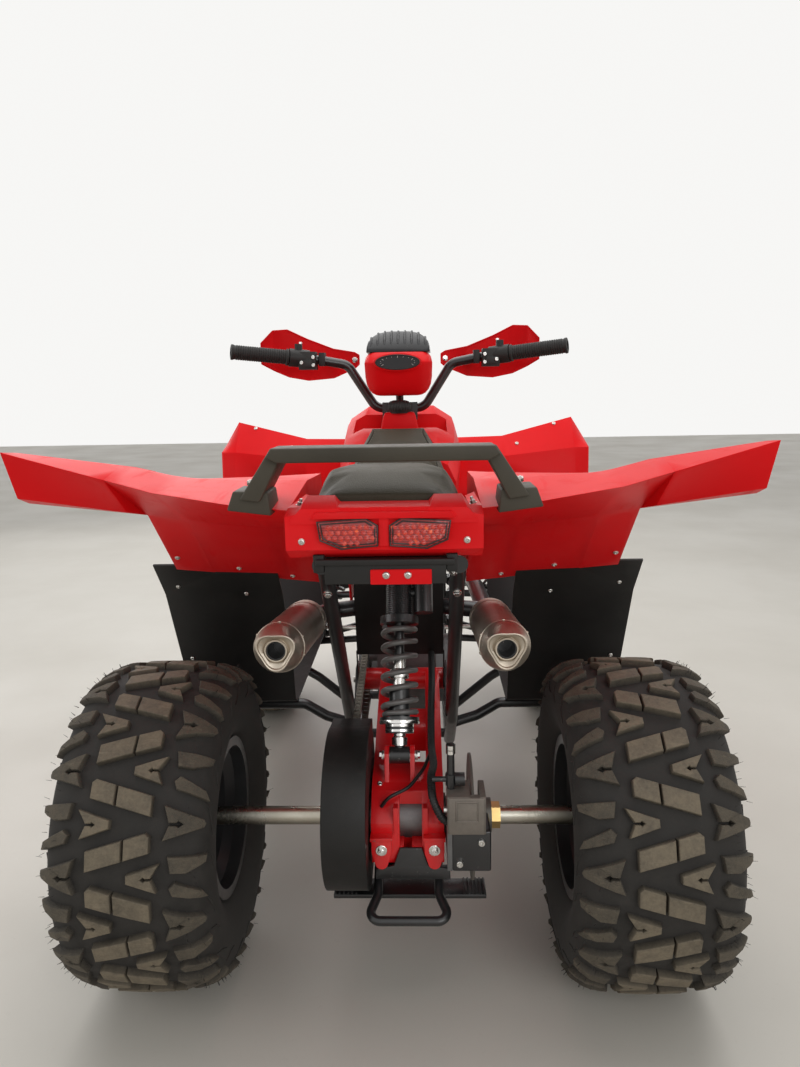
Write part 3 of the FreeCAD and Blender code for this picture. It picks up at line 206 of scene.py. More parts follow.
def paintedSteel(name, colour, rough, chip):
    # powder coat: fine pebble, nicks down to grey metal on the edges, road film
    finish = Finish(name)
    film = finish.patches(0.45, 0.8, 8, 5, 0.65)
    tint = finish.blend(film * 0.18, colour, shade(colour, 0.6, 0.05))
    nicks = finish.patches(0.66, 0.7, 150, 3) * finish.edges(0.53, 0.62)
    tint = finish.blend(nicks * chip, tint, (0.32, 0.31, 0.3))
    pebble = finish.bump(finish.noise(420, 2), 0.0004, 0.3)
    roughness = rough + film * 0.2
    return finish.surface(tint, roughness, pebble, Metallic=nicks * 0.7, Coat_Weight=0.35, Coat_Roughness=0.2)


def bareMetal(name, colour, stain, rough, lines, lineScale=(1, 1, 1), metal=1.0):
    # worked metal: fine lines along one axis, darker stains in patches
    finish = Finish(name)
    streak = finish.noise(90, 4, 0.6, finish.stretched(*lineScale))
    patch = finish.patches(0.42, 0.75, 12, 5, 0.6)
    tint = finish.blend(patch * 0.55, colour, stain)
    tint = finish.blend(finish.between(streak, 0.35, 0.7) * 0.18, tint, shade(colour, 0.6))
    tint = finish.blend(finish.edges() * 0.3, tint, shade(colour, 1.25, 0.03))
    roughness = rough + patch * 0.14 + streak * 0.08
    return finish.surface(tint, roughness, finish.bump(streak, lines, 0.5), Metallic=metal)


def castAlloy(name, colour, rough):
    finish = Finish(name)
    grime = finish.patches(0.4, 0.75, 10, 6, 0.7)
    tint = finish.blend(grime * 0.6, colour, shade(colour, 0.45))
    sand = finish.noise(520, 3, 0.7)
    roughness = rough + grime * 0.2
    return finish.surface(tint, roughness, finish.bump(sand, 0.0008, 0.5), Metallic=0.75)


def tyreRubber(name, base, worn):
    # dark sidewalls, paler dusty lug tops, stippled shoulder blocks
    finish = Finish(name)
    dust = finish.noise(34, 5, 0.7)
    fine = finish.noise(240, 3, 0.6)
    tint = finish.blend(finish.between(dust, 0.35, 0.75), base, shade(base, 1.9, 0.004))
    top = finish.attribute("top")
    patches = finish.between(dust * 0.7 + fine * 0.3, 0.3, 0.6)
    tint = finish.blend(top * (0.35 + patches * 0.65), tint, worn)
    scuff = finish.noise(130, 4, 0.6, finish.stretched(0.15, 1, 1))
    tint = finish.blend(top * finish.between(scuff, 0.58, 0.72) * 0.4, tint, shade(worn, 1.5))
    stipple = finish.cells(420) * finish.attribute("stipple")
    height = fine * 0.35 + stipple * 0.9
    roughness = 0.74 + finish.between(dust, 0.4, 0.7) * 0.14 - top * 0.06
    return finish.surface(tint, roughness, finish.bump(height, 0.0014, 0.6), IOR=1.45)


def softRubber(name, colour, rough, ribs=0):
    finish = Finish(name)
    dust = finish.patches(0.5, 0.8, 40, 5, 0.7)
    tint = finish.blend(dust * 0.3, colour, shade(colour, 2, 0.03, most=2))
    height = finish.noise(300, 3)
    if ribs:
        height = height * 0.3 + finish.bands("X", ribs)
    return finish.surface(tint, rough + dust * 0.15, finish.bump(height, 0.0009, 0.6), IOR=1.45)


def seatVinyl(name, colour, deep):
    finish = Finish(name)
    cloud = finish.patches(0.35, 0.7, 5, 4)
    tint = finish.blend(cloud, colour, deep)
    pebble = finish.cells(560, "SMOOTH_F1")
    creases = finish.noise(85, 4, 0.6)
    tint = finish.blend(finish.between(pebble, 0.1, 0.55) * 0.25, tint, shade(colour, 0.55))
    shine = finish.patches(0.5, 0.7, 9, 3)
    grain = finish.bump(pebble * 0.7 + creases * 0.3, 0.0010, 0.55)
    return finish.surface(tint, 0.56 - shine * 0.1, grain, IOR=1.48, Specular_IOR_Level=0.22)


def lampLens(name, colour, deep, glow):
    # moulded lens: prism cells, dark rim, lit dots behind
    finish = Finish(name)
    cell = finish.cells(150, place=finish.stretched(1, 0, 1))
    prism = finish.bands("Z", 95)
    tint = finish.blend(finish.between(cell, 0.15, 0.5), colour, deep)
    tint = finish.blend(prism * 0.25, tint, shade(colour, 1.6, 0.02))
    dots = 1 - finish.between(finish.cells(75, place=finish.stretched(1, 0, 1)), 0.1, 0.24)
    lit = finish.blend(dots, (0, 0, 0), glow)
    bumps = finish.bump(cell + prism * 0.4, 0.002, 0.5)
    return finish.surface(tint, 0.12, bumps, Emission_Color=lit, Emission_Strength=0.35, Coat_Weight=1.0,
                          Coat_Roughness=0.03)


finishTable = {
    "redPlastic": (mouldedPlastic, (0.90, 0.010, 0.014), (0.78, 0.007, 0.010), 0.42, 0.0002, 0.03),
    "blackPlastic": (grainedPlastic, (0.010, 0.0095, 0.009), 0.48),
    "glossPlastic": (grainedPlastic, (0.007, 0.007, 0.008), 0.24, 0.0001),
    "darkPlastic": (grainedPlastic, (0.036, 0.031, 0.022), 0.54),
    "seatCover": (seatVinyl, (0.062, 0.053, 0.035), (0.044, 0.038, 0.026)),
    "tyreRubber": (tyreRubber, (0.020, 0.018, 0.016), (0.20, 0.165, 0.115)),
    "gripRubber": (softRubber, (0.018, 0.017, 0.016), 0.62, 46),
    "blackMetal": (paintedSteel, (0.016, 0.016, 0.017), 0.3, 0.5),
    "redMetal": (paintedSteel, (0.86, 0.010, 0.014), 0.28, 0.35),
    "rimPaint": (paintedSteel, (0.020, 0.020, 0.021), 0.32, 0.5),
    "axleSteel": (bareMetal, (0.56, 0.53, 0.46), (0.34, 0.29, 0.2), 0.2, 0.0002, (60, 1, 1)),
    "mufflerSteel": (bareMetal, (0.56, 0.50, 0.42), (0.40, 0.33, 0.25), 0.36, 0.0002, (1, 0.05, 1)),
    "zincSteel": (bareMetal, (0.62, 0.61, 0.58), (0.42, 0.38, 0.3), 0.26, 0.0002, (1, 1, 1)),
    "caliperCast": (castAlloy, (0.27, 0.24, 0.21), 0.55),
    "discSteel": (bareMetal, (0.20, 0.19, 0.17), (0.11, 0.10, 0.09), 0.46, 0.0002, (1, 1, 1), 0.8),
    "engineAlloy": (castAlloy, (0.20, 0.20, 0.20), 0.45),
    "fittingBrass": (bareMetal, (0.72, 0.50, 0.20), (0.42, 0.26, 0.1), 0.26, 0.0002, (1, 8, 8)),
    "springPaint": (paintedSteel, (0.16, 0.155, 0.15), 0.38, 0.4),
    "chromeSteel": (bareMetal, (0.74, 0.73, 0.71), (0.5, 0.47, 0.42), 0.14, 0.0001, (1, 1, 1)),
    "chainSteel": (bareMetal, (0.22, 0.20, 0.17), (0.06, 0.05, 0.04), 0.4, 0.0003, (1, 1, 1)),
    "redLens": (lampLens, (0.62, 0.012, 0.006), (0.30, 0.003, 0.003), (1.0, 0.16, 0.03)),
    "litRed": (lampLens, (0.86, 0.05, 0.015), (0.6, 0.012, 0.006), (1.0, 0.22, 0.04)),
    "rimLens": (mouldedPlastic, (0.045, 0.006, 0.006), (0.022, 0.004, 0.004), 0.16, 0.0001, 0.8),
    "paleMark": (softRubber, (0.72, 0.72, 0.68), 0.5),
    "seatPiping": (seatVinyl, (0.034, 0.029, 0.020), (0.024, 0.021, 0.015)),
    "thread": (softRubber, (0.16, 0.145, 0.11), 0.7),
    "clearLens": (lampLens, (0.62, 0.64, 0.66), (0.35, 0.36, 0.38), (0.2, 0.2, 0.2)),
    "dialGlass": (grainedPlastic, (0.008, 0.009, 0.010), 0.08, 0.00002),
    "hoseRubber": (softRubber, (0.015, 0.015, 0.015), 0.45),
}
finishes = {name: make(name, *values) for name, (make, *values) in finishTable.items()}

# record slot: finish, and the CAD nodes that wear it
worn = {
    "red_plastic": ("redPlastic", [
        "rear_fenders", "front_fenders", "tank_cover", "nose", "side_panels", "tail_panel", "tail_bracket",
        "handguards", "instrument_pod",
    ]),
    "black_plastic": ("blackPlastic", ["footwells", "inner_guard", "chain_guard", "hand_controls", "visor"]),
    "dark_plastic": ("darkPlastic", ["grab_rail"]),
    "tyre_rubber": ("tyreRubber", ["rear_tyres", "front_tyre_left", "front_tyre_right"]),
    "grip_rubber": ("gripRubber", ["grips"]),
    "seat_cover": ("seatCover", ["seat"]),
    "black_metal": ("blackMetal", [
        "frame_left", "frame_right", "frame_cross_tubes", "suspension_arms", "knuckle_left", "knuckle_right",
        "steering_stem", "handlebar", "front_bumper", "footrest_bars", "skid_loop", "rear_brake_caliper",
        "exhaust_pipe",
    ]),
    "red_metal": ("redMetal", ["swingarm"]),
    "rim_paint": ("rimPaint", ["rear_rims", "front_rim_left", "front_rim_right"]),
    "axle_steel": ("axleSteel", ["rear_axle", "rear_brake_disc", "front_hub_left", "front_hub_right"]),
    "muffler_steel": ("mufflerSteel", ["mufflers"]),
    "zinc_steel": ("zincSteel", ["pivot_bolts", "tie_rod_left", "tie_rod_right"]),
    "engine_alloy": ("engineAlloy", ["engine", "axle_carrier"]),
    "fitting_brass": ("fittingBrass", ["axle_lock_nut"]),
    "spring_paint": ("springPaint", ["rear_spring", "front_springs", "rear_shock", "front_shocks"]),
    "chain_steel": ("chainSteel", ["drive_chain", "rear_sprocket"]),
    "red_lens": ("redLens", ["tail_lamps"]),
    "clear_lens": ("clearLens", ["headlamps"]),
    "dial_glass": ("dialGlass", ["dial"]),
}
# nodes whose finish differs from the others of their slot
ownFinish = {"rear_brake_disc": "discSteel", "rear_shock": "blackMetal", "front_shocks": "blackMetal"}


def painted(piece, finishName):
    piece.data.materials.clear()
    piece.data.materials.append(finishes[finishName])
    return piece


bare = set(nodes)
for finishName, members in worn.values():
    for member in members:
        painted(nodes[member], ownFinish.get(member, finishName))
        bare.remove(member)
print("finishes", len(finishes), "nodes without one:", sorted(bare))


# camera: metres from under the rear axle, degrees, millimetres of lens and sensor
view = {
    "place": (0.054, -1.329, 1.038), "yaw": 1.75, "down": 10.37, "roll": -1.05, "lens": 27.03, "sensor": 36,
}
yaw, down, roll = (math.radians(view[key]) for key in ("yaw", "down", "roll"))
ahead = Vector((-math.sin(yaw) * math.cos(down), math.cos(yaw) * math.cos(down), -math.sin(down)))
right = Vector((math.cos(yaw), math.sin(yaw), 0))
up = right.cross(ahead)
tilted = right * math.cos(roll) + up * math.sin(roll)
upright = up * math.cos(roll) - right * math.sin(roll)


def placed(name, data):
    piece = bpy.data.objects.new(name, data)
    bpy.context.scene.collection.objects.link(piece)
    return piece


camera = placed("camera", bpy.data.cameras.new("camera"))
camera.data.lens = view["lens"]
camera.data.sensor_width = view["sensor"]
camera.matrix_world = Matrix((
    (tilted.x, upright.x, -ahead.x, view["place"][0]),
    (tilted.y, upright.y, -ahead.y, view["place"][1] + rearAxle.y),
    (tilted.z, upright.z, -ahead.z, view["place"][2]),
    (0, 0, 0, 1),
))
bpy.context.scene.camera = camera
bpy.context.scene.view_settings.view_transform = "Standard"

# area lamps: metres and watts
lamps = {
    "overhead": {"place": (0.2, 0.4, 3.6), "aim": (0, 0, 0.5), "size": (3.4, 3.4), "power": 62},
    "window": {"place": (-1.4, 4.2, 2.4), "aim": (0, 0, 0.8), "size": (4.5, 2.2), "power": 46},
    "fill": {"place": (1.9, -4.0, 2.1), "aim": (0, 0, 0.5), "size": (2.6, 2.0), "power": 36},
    "side": {"place": (-3.4, -1.6, 1.5), "aim": (0, 0, 0.5), "size": (1.8, 1.8), "power": 16},
}
for lampName, lamp in lamps.items():
    light = bpy.data.lights.new(lampName, "AREA")
    light.shape = "RECTANGLE"
    light.size, light.size_y = lamp["size"]
    light.energy = lamp["power"]
    holder = placed(lampName, light)
    place = Vector(lamp["place"])
    holder.rotation_mode = "QUATERNION"
    holder.rotation_quaternion = (place - Vector(lamp["aim"])).to_track_quat("Z", "Y")
    holder.location = place

room = {"colour": (0.80, 0.80, 0.79), "light": 0.5, "seen": (0.93, 0.925, 0.91), "floor": (0.70, 0.665, 0.60)}


def seenDirectly(graph):
    paths = graph.add("ShaderNodeLightPath").socket.node
    eye, mirror, through = (
        Link(graph, paths.outputs[f"Is {ray} Ray"]) for ray in ("Camera", "Glossy", "Transmission")
    )
    return eye.maths("MINIMUM", eye + mirror + through, 1.0)


world = bpy.data.worlds.new("room")
bpy.context.scene.world = world
world.use_nodes = True
world.node_tree.nodes.clear()
sky = Graph(world.node_tree)
lit = sky.add("ShaderNodeBackground", {}, {"Color": (*room["colour"], 1), "Strength": room["light"]})
shown = sky.add("ShaderNodeBackground", {}, {"Color": (*room["seen"], 1), "Strength": 1.0})
mixed = sky.add("ShaderNodeMixShader", {}, {0: seenDirectly(sky), 1: lit, 2: shown})
sky.add("ShaderNodeOutputWorld", {}, {"Surface": mixed})


def meshObject(name, points, faces, finish=None, smooth=True):
    mesh = bpy.data.meshes.new(name)
    mesh.from_pydata(points, [], faces)
    piece = placed(name, mesh)
    if finish:
        mesh.materials.append(finish)
    mesh.polygons.foreach_set("use_smooth", [smooth] * len(mesh.polygons))
    return piece


def concrete():
    finish = Finish("paleFloor")
    cloud = finish.noise(1.6, 5, 0.6)
    speck = finish.patches(0.6, 0.75, 55, 4, 0.7)
    tint = finish.blend(finish.between(cloud, 0.3, 0.7) * 0.5, room["floor"], shade(room["floor"], 0.9))
    tint = finish.blend(speck * 0.12, tint, (0.45, 0.41, 0.35))
    return finish.surface(tint, 0.42 + finish.between(cloud, 0.4, 0.7) * 0.2, finish.bump(cloud, 0.004, 0.1))


floorReach = 14
corners = [(x * floorReach, y * floorReach, 0) for x, y in ((-1, -1), (1, -1), (1, 1), (-1, 1))]
meshObject("floor", corners, [(0, 1, 2, 3)], concrete())
print("camera, lamps and floor")


def settled(piece, name=None):
    # the object as its modifiers leave it, as a plain mesh
    evaluated = piece.evaluated_get(bpy.context.evaluated_depsgraph_get())
    mesh = bpy.data.meshes.new_from_object(evaluated)
    mesh.name = name or piece.name
    piece.modifiers.clear()
    piece.data = mesh
    return piece


def cleanCopy(name, node, flat=0.6):
    # a node's own solid, its flat faces merged again
    mesh = nodes[node].data.copy()
    mesh.name = name
    piece = placed(name, mesh)
    work = bmesh.new()
    work.from_mesh(mesh)
    bmesh.ops.remove_doubles(work, verts=work.verts, dist=0.00002)
    bmesh.ops.dissolve_limit(work, angle_limit=math.radians(flat), verts=work.verts, edges=work.edges)
    work.to_mesh(mesh)
    work.free()
    return piece


def roundEdges(piece, width, segments=3, angle=26, sharp=50):
    bevel = piece.modifiers.new("edges", "BEVEL")
    bevel.width = width
    bevel.segments = segments
    bevel.limit_method = "ANGLE"
    bevel.angle_limit = math.radians(angle)
    bevel.miter_outer = "MITER_ARC"
    settled(piece)
    piece.data.shade_smooth()
    piece.data.set_sharp_from_angle(angle=math.radians(sharp))
    return piece


def hand(piece, body, slot, *replaced):
    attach(piece, body)
    if replaced:
        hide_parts(*replaced)
    return piece


# node: piece, edge radius, slot
roundedNodes = {
    "rear_fenders": ("rearFenders", 0.006, "red_plastic"),
    "front_fenders": ("frontFenders", 0.006, "red_plastic"),
    "tank_cover": ("tankCover", 0.007, "red_plastic"),
    "nose": ("noseCowl", 0.007, "red_plastic"),
    "tail_bracket": ("tailBox", 0.003, "black_plastic"),
    "side_panels": ("sidePanels", 0.002, "red_plastic"),
    "footwells": ("heelPanels", 0.0015, "black_plastic"),
    "rear_brake_caliper": ("brakeCaliper", 0.003, "black_metal"),
    "chain_guard": ("chainGuard", 0.004, "black_plastic"),
    "engine": ("engineCastings", 0.003, "engine_alloy"),
    "inner_guard": ("innerGuard", 0.002, "black_plastic"),
    "headlamps": ("headlampLenses", 0.002, "clear_lens"),
}
for node, (pieceName, width, slotName) in roundedNodes.items():
    piece = roundEdges(cleanCopy(pieceName, node), width)
    hand(painted(piece, worn[slotName][0]), "chassis", slotName, node)
print("rounded panels", len(roundedNodes))


# points and outlines below are in millimetres until toFrame() makes metres of them; edge radii are in metres
def toFrame(x, y, z):
    # from the rear axle's middle, over the floor
    return Vector((x / 1000, rearAxle.y + y / 1000, z / 1000))


class Recipe(Graph):
    # a Geometry Nodes group with named inputs
    def __init__(self, name, sockets):
        group = bpy.data.node_groups.new(name, "GeometryNodeTree")
        group.interface.new_socket("Geometry", in_out="INPUT", socket_type="NodeSocketGeometry")
        group.interface.new_socket("Geometry", in_out="OUTPUT", socket_type="NodeSocketGeometry")
        for label, kind in sockets.items():
            group.interface.new_socket(label, in_out="INPUT", socket_type="NodeSocket" + kind)
        super().__init__(group)
        self.entry = group.nodes.new("NodeGroupInput")

    def given(self, label):
        return Link(self, self.entry.outputs[label])

    def close(self, geometry):
        real = self.add("GeometryNodeRealizeInstances", {}, {"Geometry": geometry})
        inputs = {"Geometry": real, "Material": self.given("Finish")}
        self.add("NodeGroupOutput", {}, {"Geometry": self.add("GeometryNodeSetMaterial", {}, inputs)})
        return self.tree


def scatterRecipe():
    # one copy of Shape on each point, turned and sized by the point's own attributes
    recipe = Recipe("scatter", {"Shape": "Object", "Finish": "Material"})
    shape = recipe.add("GeometryNodeObjectInfo", {}, {"Object": recipe.given("Shape")}, "Geometry")
    turn = recipe.add("GeometryNodeInputNamedAttribute", {"data_type": "FLOAT_VECTOR"}, {"Name": "turn"})
    size = recipe.add("GeometryNodeInputNamedAttribute", {"data_type": "FLOAT"}, {"Name": "size"})
    inputs = {"Points": recipe.given("Geometry"), "Instance": shape, "Rotation": turn, "Scale": size}
    return recipe.close(recipe.add("GeometryNodeInstanceOnPoints", {}, inputs))


def wireRecipe():
    # a round bar of Thickness along the edges of the mesh
    recipe = Recipe("wire", {"Thickness": "Float", "Sides": "Int", "Finish": "Material"})
    path = recipe.add("GeometryNodeMeshToCurve", {}, {"Mesh": recipe.given("Geometry")})
    inputs = {"Resolution": recipe.given("Sides"), "Radius": recipe.given("Thickness")}
    ring = recipe.add("GeometryNodeCurvePrimitiveCircle", {}, inputs)
    bar = recipe.add("GeometryNodeCurveToMesh", {}, {"Curve": path, "Profile Curve": ring, "Fill Caps": True})
    return recipe.close(recipe.add("GeometryNodeSetShadeSmooth", {}, {"Geometry": bar}))


scatterTree = scatterRecipe()
wireTree = wireRecipe()


def grown(name, tree, mesh, values):
    piece = placed(name, mesh)
    modifier = piece.modifiers.new("grow", "NODES")
    modifier.node_group = tree
    for item in tree.interface.items_tree:
        if item.name in values:
            modifier[item.identifier] = values[item.name]
    return settled(piece, name)


def scattered(name, shape, spots, finish, keep=False):
    # copies of a shape at spots of (place, turn, size); the shape's own object goes once they are made
    mesh = bpy.data.meshes.new(name)
    mesh.from_pydata([place for place, _, _ in spots], [], [])
    turns = [value for _, turn, _ in spots for value in turn]
    mesh.attributes.new("turn", "FLOAT_VECTOR", "POINT").data.foreach_set("vector", turns)
    mesh.attributes.new("size", "FLOAT", "POINT").data.foreach_set("value", [size for _, _, size in spots])
    piece = grown(name, scatterTree, mesh, {"Shape": shape, "Finish": finish})
    if not keep:
        bpy.data.objects.remove(shape)
    return piece


def wire(name, paths, thickness, finish, sides=10, closed=False):
    # round bars along paths in metres; thickness is their radius in millimetres
    points = []
    links = []
    for path in paths:
        first = len(points)
        points += path
        links += [(first + i, first + i + 1) for i in range(len(path) - 1)]
        if closed:
            links.append((len(points) - 1, first))
    mesh = bpy.data.meshes.new(name)
    mesh.from_pydata(points, links, [])
    return grown(name, wireTree, mesh, {"Thickness": thickness / 1000, "Sides": sides, "Finish": finish})


def joined(name, pieces):
    # one object out of several
    work = bmesh.new()
    slots = []
    for piece in pieces:
        mesh = piece.data
        offset = len(slots)
        slots += list(mesh.materials)
        start = len(work.faces)
        work.from_mesh(mesh)
        work.faces.ensure_lookup_table()
        for face in work.faces[start:]:
            face.material_index += offset
        bpy.data.objects.remove(piece)
    mesh = bpy.data.meshes.new(name)
    work.to_mesh(mesh)
    work.free()
    for slot in slots:
        mesh.materials.append(slot)
    return placed(name, mesh)


def splined(points, steps):
    # smooth path through the points
    points = [Vector(point) for point in points]
    last = len(points) - 1
    path = []
    for i in range(last):
        a, b, c, d = (points[min(max(k, 0), last)] for k in (i - 1, i, i + 1, i + 2))
        for step in range(steps):
            t = step / steps
            curve = (2 * a - 5 * b + 4 * c - d) * t**2 + (3 * b - a - 3 * c + d) * t**3
            path.append(0.5 * (2 * b + (c - a) * t + curve))
    return path + [points[-1]]


def turned(centre, along, profile, count):
    # points and faces of a closed profile of (offset, radius) turned about an axis
    along = Vector(along).normalized()
    side = along.orthogonal().normalized()
    other = along.cross(side)
    points = []
    for step in range(count):
        angle = 2 * math.pi * step / count
        out = side * math.cos(angle) + other * math.sin(angle)
        points += [Vector(centre) + along * a / 1000 + out * r / 1000 for a, r in profile]
    size = len(profile)
    faces = []
    for step in range(count):
        here, there = step * size, (step + 1) % count * size
        for k in range(size):
            after = (k + 1) % size
            faces.append((here + k, there + k, there + after, here + after))
    return points, faces


def shrunk(outline, amount):
    # a polygon with every side moved inwards
    count = len(outline)
    area = sum(outline[i - 1][0] * outline[i][1] - outline[i][0] * outline[i - 1][1] for i in range(count))
    inwards = 1 if area > 0 else -1
    moved = []
    for i in range(count):
        before, here, after = (Vector(outline[k % count]) for k in (i - 1, i, i + 1))
        first = (here - before).normalized()
        second = (after - here).normalized()
        normal = Vector((-first.y - second.y, first.x + second.x)) * inwards
        reach = max(0.5, normal.length**2 / 2)
        moved.append(here + normal * amount / reach)
    return moved


def tidyNormals(piece, sharp=40):
    work = bmesh.new()
    work.from_mesh(piece.data)
    bmesh.ops.recalc_face_normals(work, faces=work.faces)
    work.to_mesh(piece.data)
    work.free()
    piece.data.set_sharp_from_angle(angle=math.radians(sharp))
    return piece


def ringFaces(count, levels=2, first=0):
    # sides and both ends of a stack of rings of count points
    last = first + (levels - 1) * count
    faces = []
    for here in range(first, last, count):
        for k in range(count):
            after = here + (k + 1) % count
            faces.append((here + k, after, after + count, here + k + count))
    return faces + [tuple(range(first + count - 1, first - 1, -1)), tuple(range(last, last + count))]


def lofted(name, rings, finish=None, sharp=35):
    points = [point for ring in rings for point in ring]
    return tidyNormals(meshObject(name, points, ringFaces(len(rings[0]), len(rings)), finish), sharp)


# outer radius, half width, steps of the tread, its size against the rear one, height of a lug, turn of the
# first step, and half the section from bead to crown; the tread repeats every two steps, left and right in turn
tyres = {
    "rear": {
        "radius": 279, "half": 127, "steps": 22, "scale": 1.0, "lug": 12.5,
        "phase": math.degrees(math.asin(28 / 279)),
        "wall": [(101, 127.2), (101, 135), (101, 142.5), (109, 149), (119, 165), (126, 190), (126.6, 212),
                 (123, 232), (114, 247), (98, 257.5), (79, 263), (40, 265.8), (0, 266.5)],
    },
    "front": {
        "radius": 292, "steps": 32, "scale": 0.72, "lug": 11,
        "phase": math.degrees(math.asin(20.2 / 292)),
        "wall": [(69, 127.2), (69, 135), (69, 142.5), (76, 150), (84, 170), (88.2, 200), (88.6, 226),
                 (86, 246), (79, 262), (68, 272), (54, 277.6), (27, 280.4), (0, 281)],
    },
}
# outlines of the lugs: across the tread from its middle, along it
longBar = [(-47, 28.5), (-47, -1.5), (6, -16.7), (6, 13.3)]
shortBar = [(10, 12.1), (10, -17.9), (41, -27.0), (47, -22), (47, 1.5)]
wedge = [(-58, 21), (-50, 1.7), (-42, 1.7), (-40, 3.8), (-35, 0), (-40, -3.8), (-42, -1.7), (-50, -1.7),
         (-62, -22), (-14, -6), (-14, 6)]
heart = [(66, 24), (74, 2.2), (84, 2.2), (87, 5), (94, 0), (87, -5), (84, -2.2), (74, -2.2), (66, -28),
         (120, -7), (123, 0), (120, 6)]
padLow = [(74, 48), (78, 72), (98, 74), (126, 62), (128, 50)]
padHigh = [(80, -52), (76, -64), (84, -72), (120, -52), (128, -36)]
tread = [
    # outline, share of the lug's height, stippled, half a step before the bar
    (longBar, 1.0, 0, False), (shortBar, 1.0, 0, False), (wedge, 0.92, 0, True), (heart, 0.95, 1, True),
    (padLow, 0.8, 1, True), (padHigh, 0.8, 1, True),
]
wallRibs = [[(132, -30), (146, -8), (152, 22)], [(135, 48), (150, 60), (158, 84)]]
# rubber hairs on each step: count, nearest and farthest place across, foot and tip over the carcass
hair = {"count": 14, "across": (92, 130), "lean": 3.0, "levels": ((8, 0.5), (16.5, 0.25))}
cuts = (-100, -80, -45, -20, 0, 20, 45, 80, 100, 116)  # where flat lug tops are divided, to follow the crown


class Wall:
    # half of the tyre's section, as a path of known length from the middle of the crown
    def __init__(self, spec):
        self.path = splined([(x, r) for x, r in spec["wall"][::-1]], 4)
        self.path = [Vector((point.x, point.y)) for point in self.path]
        self.run = [0]
        for a, b in zip(self.path, self.path[1:]):
            self.run.append(self.run[-1] + (b - a).length)

    def at(self, across, height):
        # x and radius, height above the carcass
        distance = min(abs(across), self.run[-1] - 1)
        k = max(i for i, run in enumerate(self.run[:-1]) if run <= distance)
        a, b = self.path[k], self.path[k + 1]
        here = a.lerp(b, (distance - self.run[k]) / (self.run[k + 1] - self.run[k]))
        before = self.path[max(k - 1, 0)]
        beyond = self.path[min(k + 2, len(self.path) - 1)]
        run = (beyond - before).normalized()
        x = here.x + -run.y * height
        return (x if across >= 0 else -x), here.y + run.x * height


def treadStep(name, spec, handed):
    # every lug of one step of the tread, its bar at the bottom of the tyre
    wall = Wall(spec)
    scale, radius = spec["scale"], spec["radius"]
    half = math.pi * radius / spec["steps"]
    work = bmesh.new()
    topLayer = work.verts.layers.float.new("top")
    stippleLayer = work.verts.layers.float.new("stipple")
    lugs = []
    for outline, share, stipple, before in tread:
        lugs.append((outline, share * spec["lug"], stipple, before, 1.1, 1.3))
    for middle in wallRibs:
        there = [(a, b + 2.4) for a, b in middle]
        lugs.append((middle + there[::-1], 1.6, 0, True, 0.4, 0.3))
    for outline, height, stipple, before, inset, spread in lugs:
        outline = [(a * scale, b * scale) for a, b in outline]
        foot, tip = shrunk(outline, -spread), shrunk(outline, inset)
        rings = [(foot, -2.5, 0), (outline, height - inset, 0.7), (tip, height, 1)]
        rows = []
        for ring, up, top in rings:
            row = []
            for across, along in ring:
                vert = work.verts.new((across, along - (half if before else 0), up))
                vert[topLayer] = top * (1 - 0.55 * stipple) if height > 3 else 0
                vert[stippleLayer] = stipple
                row.append(vert)
            rows.append(row)
        for lower, upper in zip(rows, rows[1:]):
            for i in range(len(lower)):
                work.faces.new((lower[i - 1], lower[i], upper[i], upper[i - 1]))
        work.faces.new(rows[-1])
    for cut in cuts:
        geometry = work.verts[:] + work.edges[:] + work.faces[:]
        place = (cut * scale, 0, 0)
        bmesh.ops.bisect_plane(work, geom=geometry, plane_co=place, plane_no=(1, 0, 0), dist=0.00001)
    bmesh.ops.recalc_face_normals(work, faces=work.faces)
    chance = random.Random(7 if handed > 0 else 11)
    for number in range(hair["count"]):
        side = 1 if number % 2 else -1
        across = side * chance.uniform(*hair["across"]) * scale
        along = (number / hair["count"] - 0.5) * 2 * half * 0.96
        lean = chance.uniform(-hair["lean"], hair["lean"])
        ring = []
        for level, thick in hair["levels"]:
            bend = lean * (level - 8) / 8
            ring.append([work.verts.new((
                across + thick * math.cos(2.1 * k), along + bend + thick * math.sin(2.1 * k), level,
            )) for k in range(3)])
        for k in range(3):
            work.faces.new((ring[0][k - 1], ring[0][k], ring[1][k], ring[1][k - 1]))
        work.faces.new(ring[1])
    for vert in work.verts:
        across, along, up = vert.co
        x, r = wall.at(across * handed, up)
        angle = -math.pi / 2 + along / radius
        vert.co = Vector((x, r * math.cos(angle), r * math.sin(angle))) / 1000
    if handed < 0:
        bmesh.ops.reverse_faces(work, faces=work.faces)
    mesh = bpy.data.meshes.new(name)
    work.to_mesh(mesh)
    work.free()
    return placed(name, mesh)


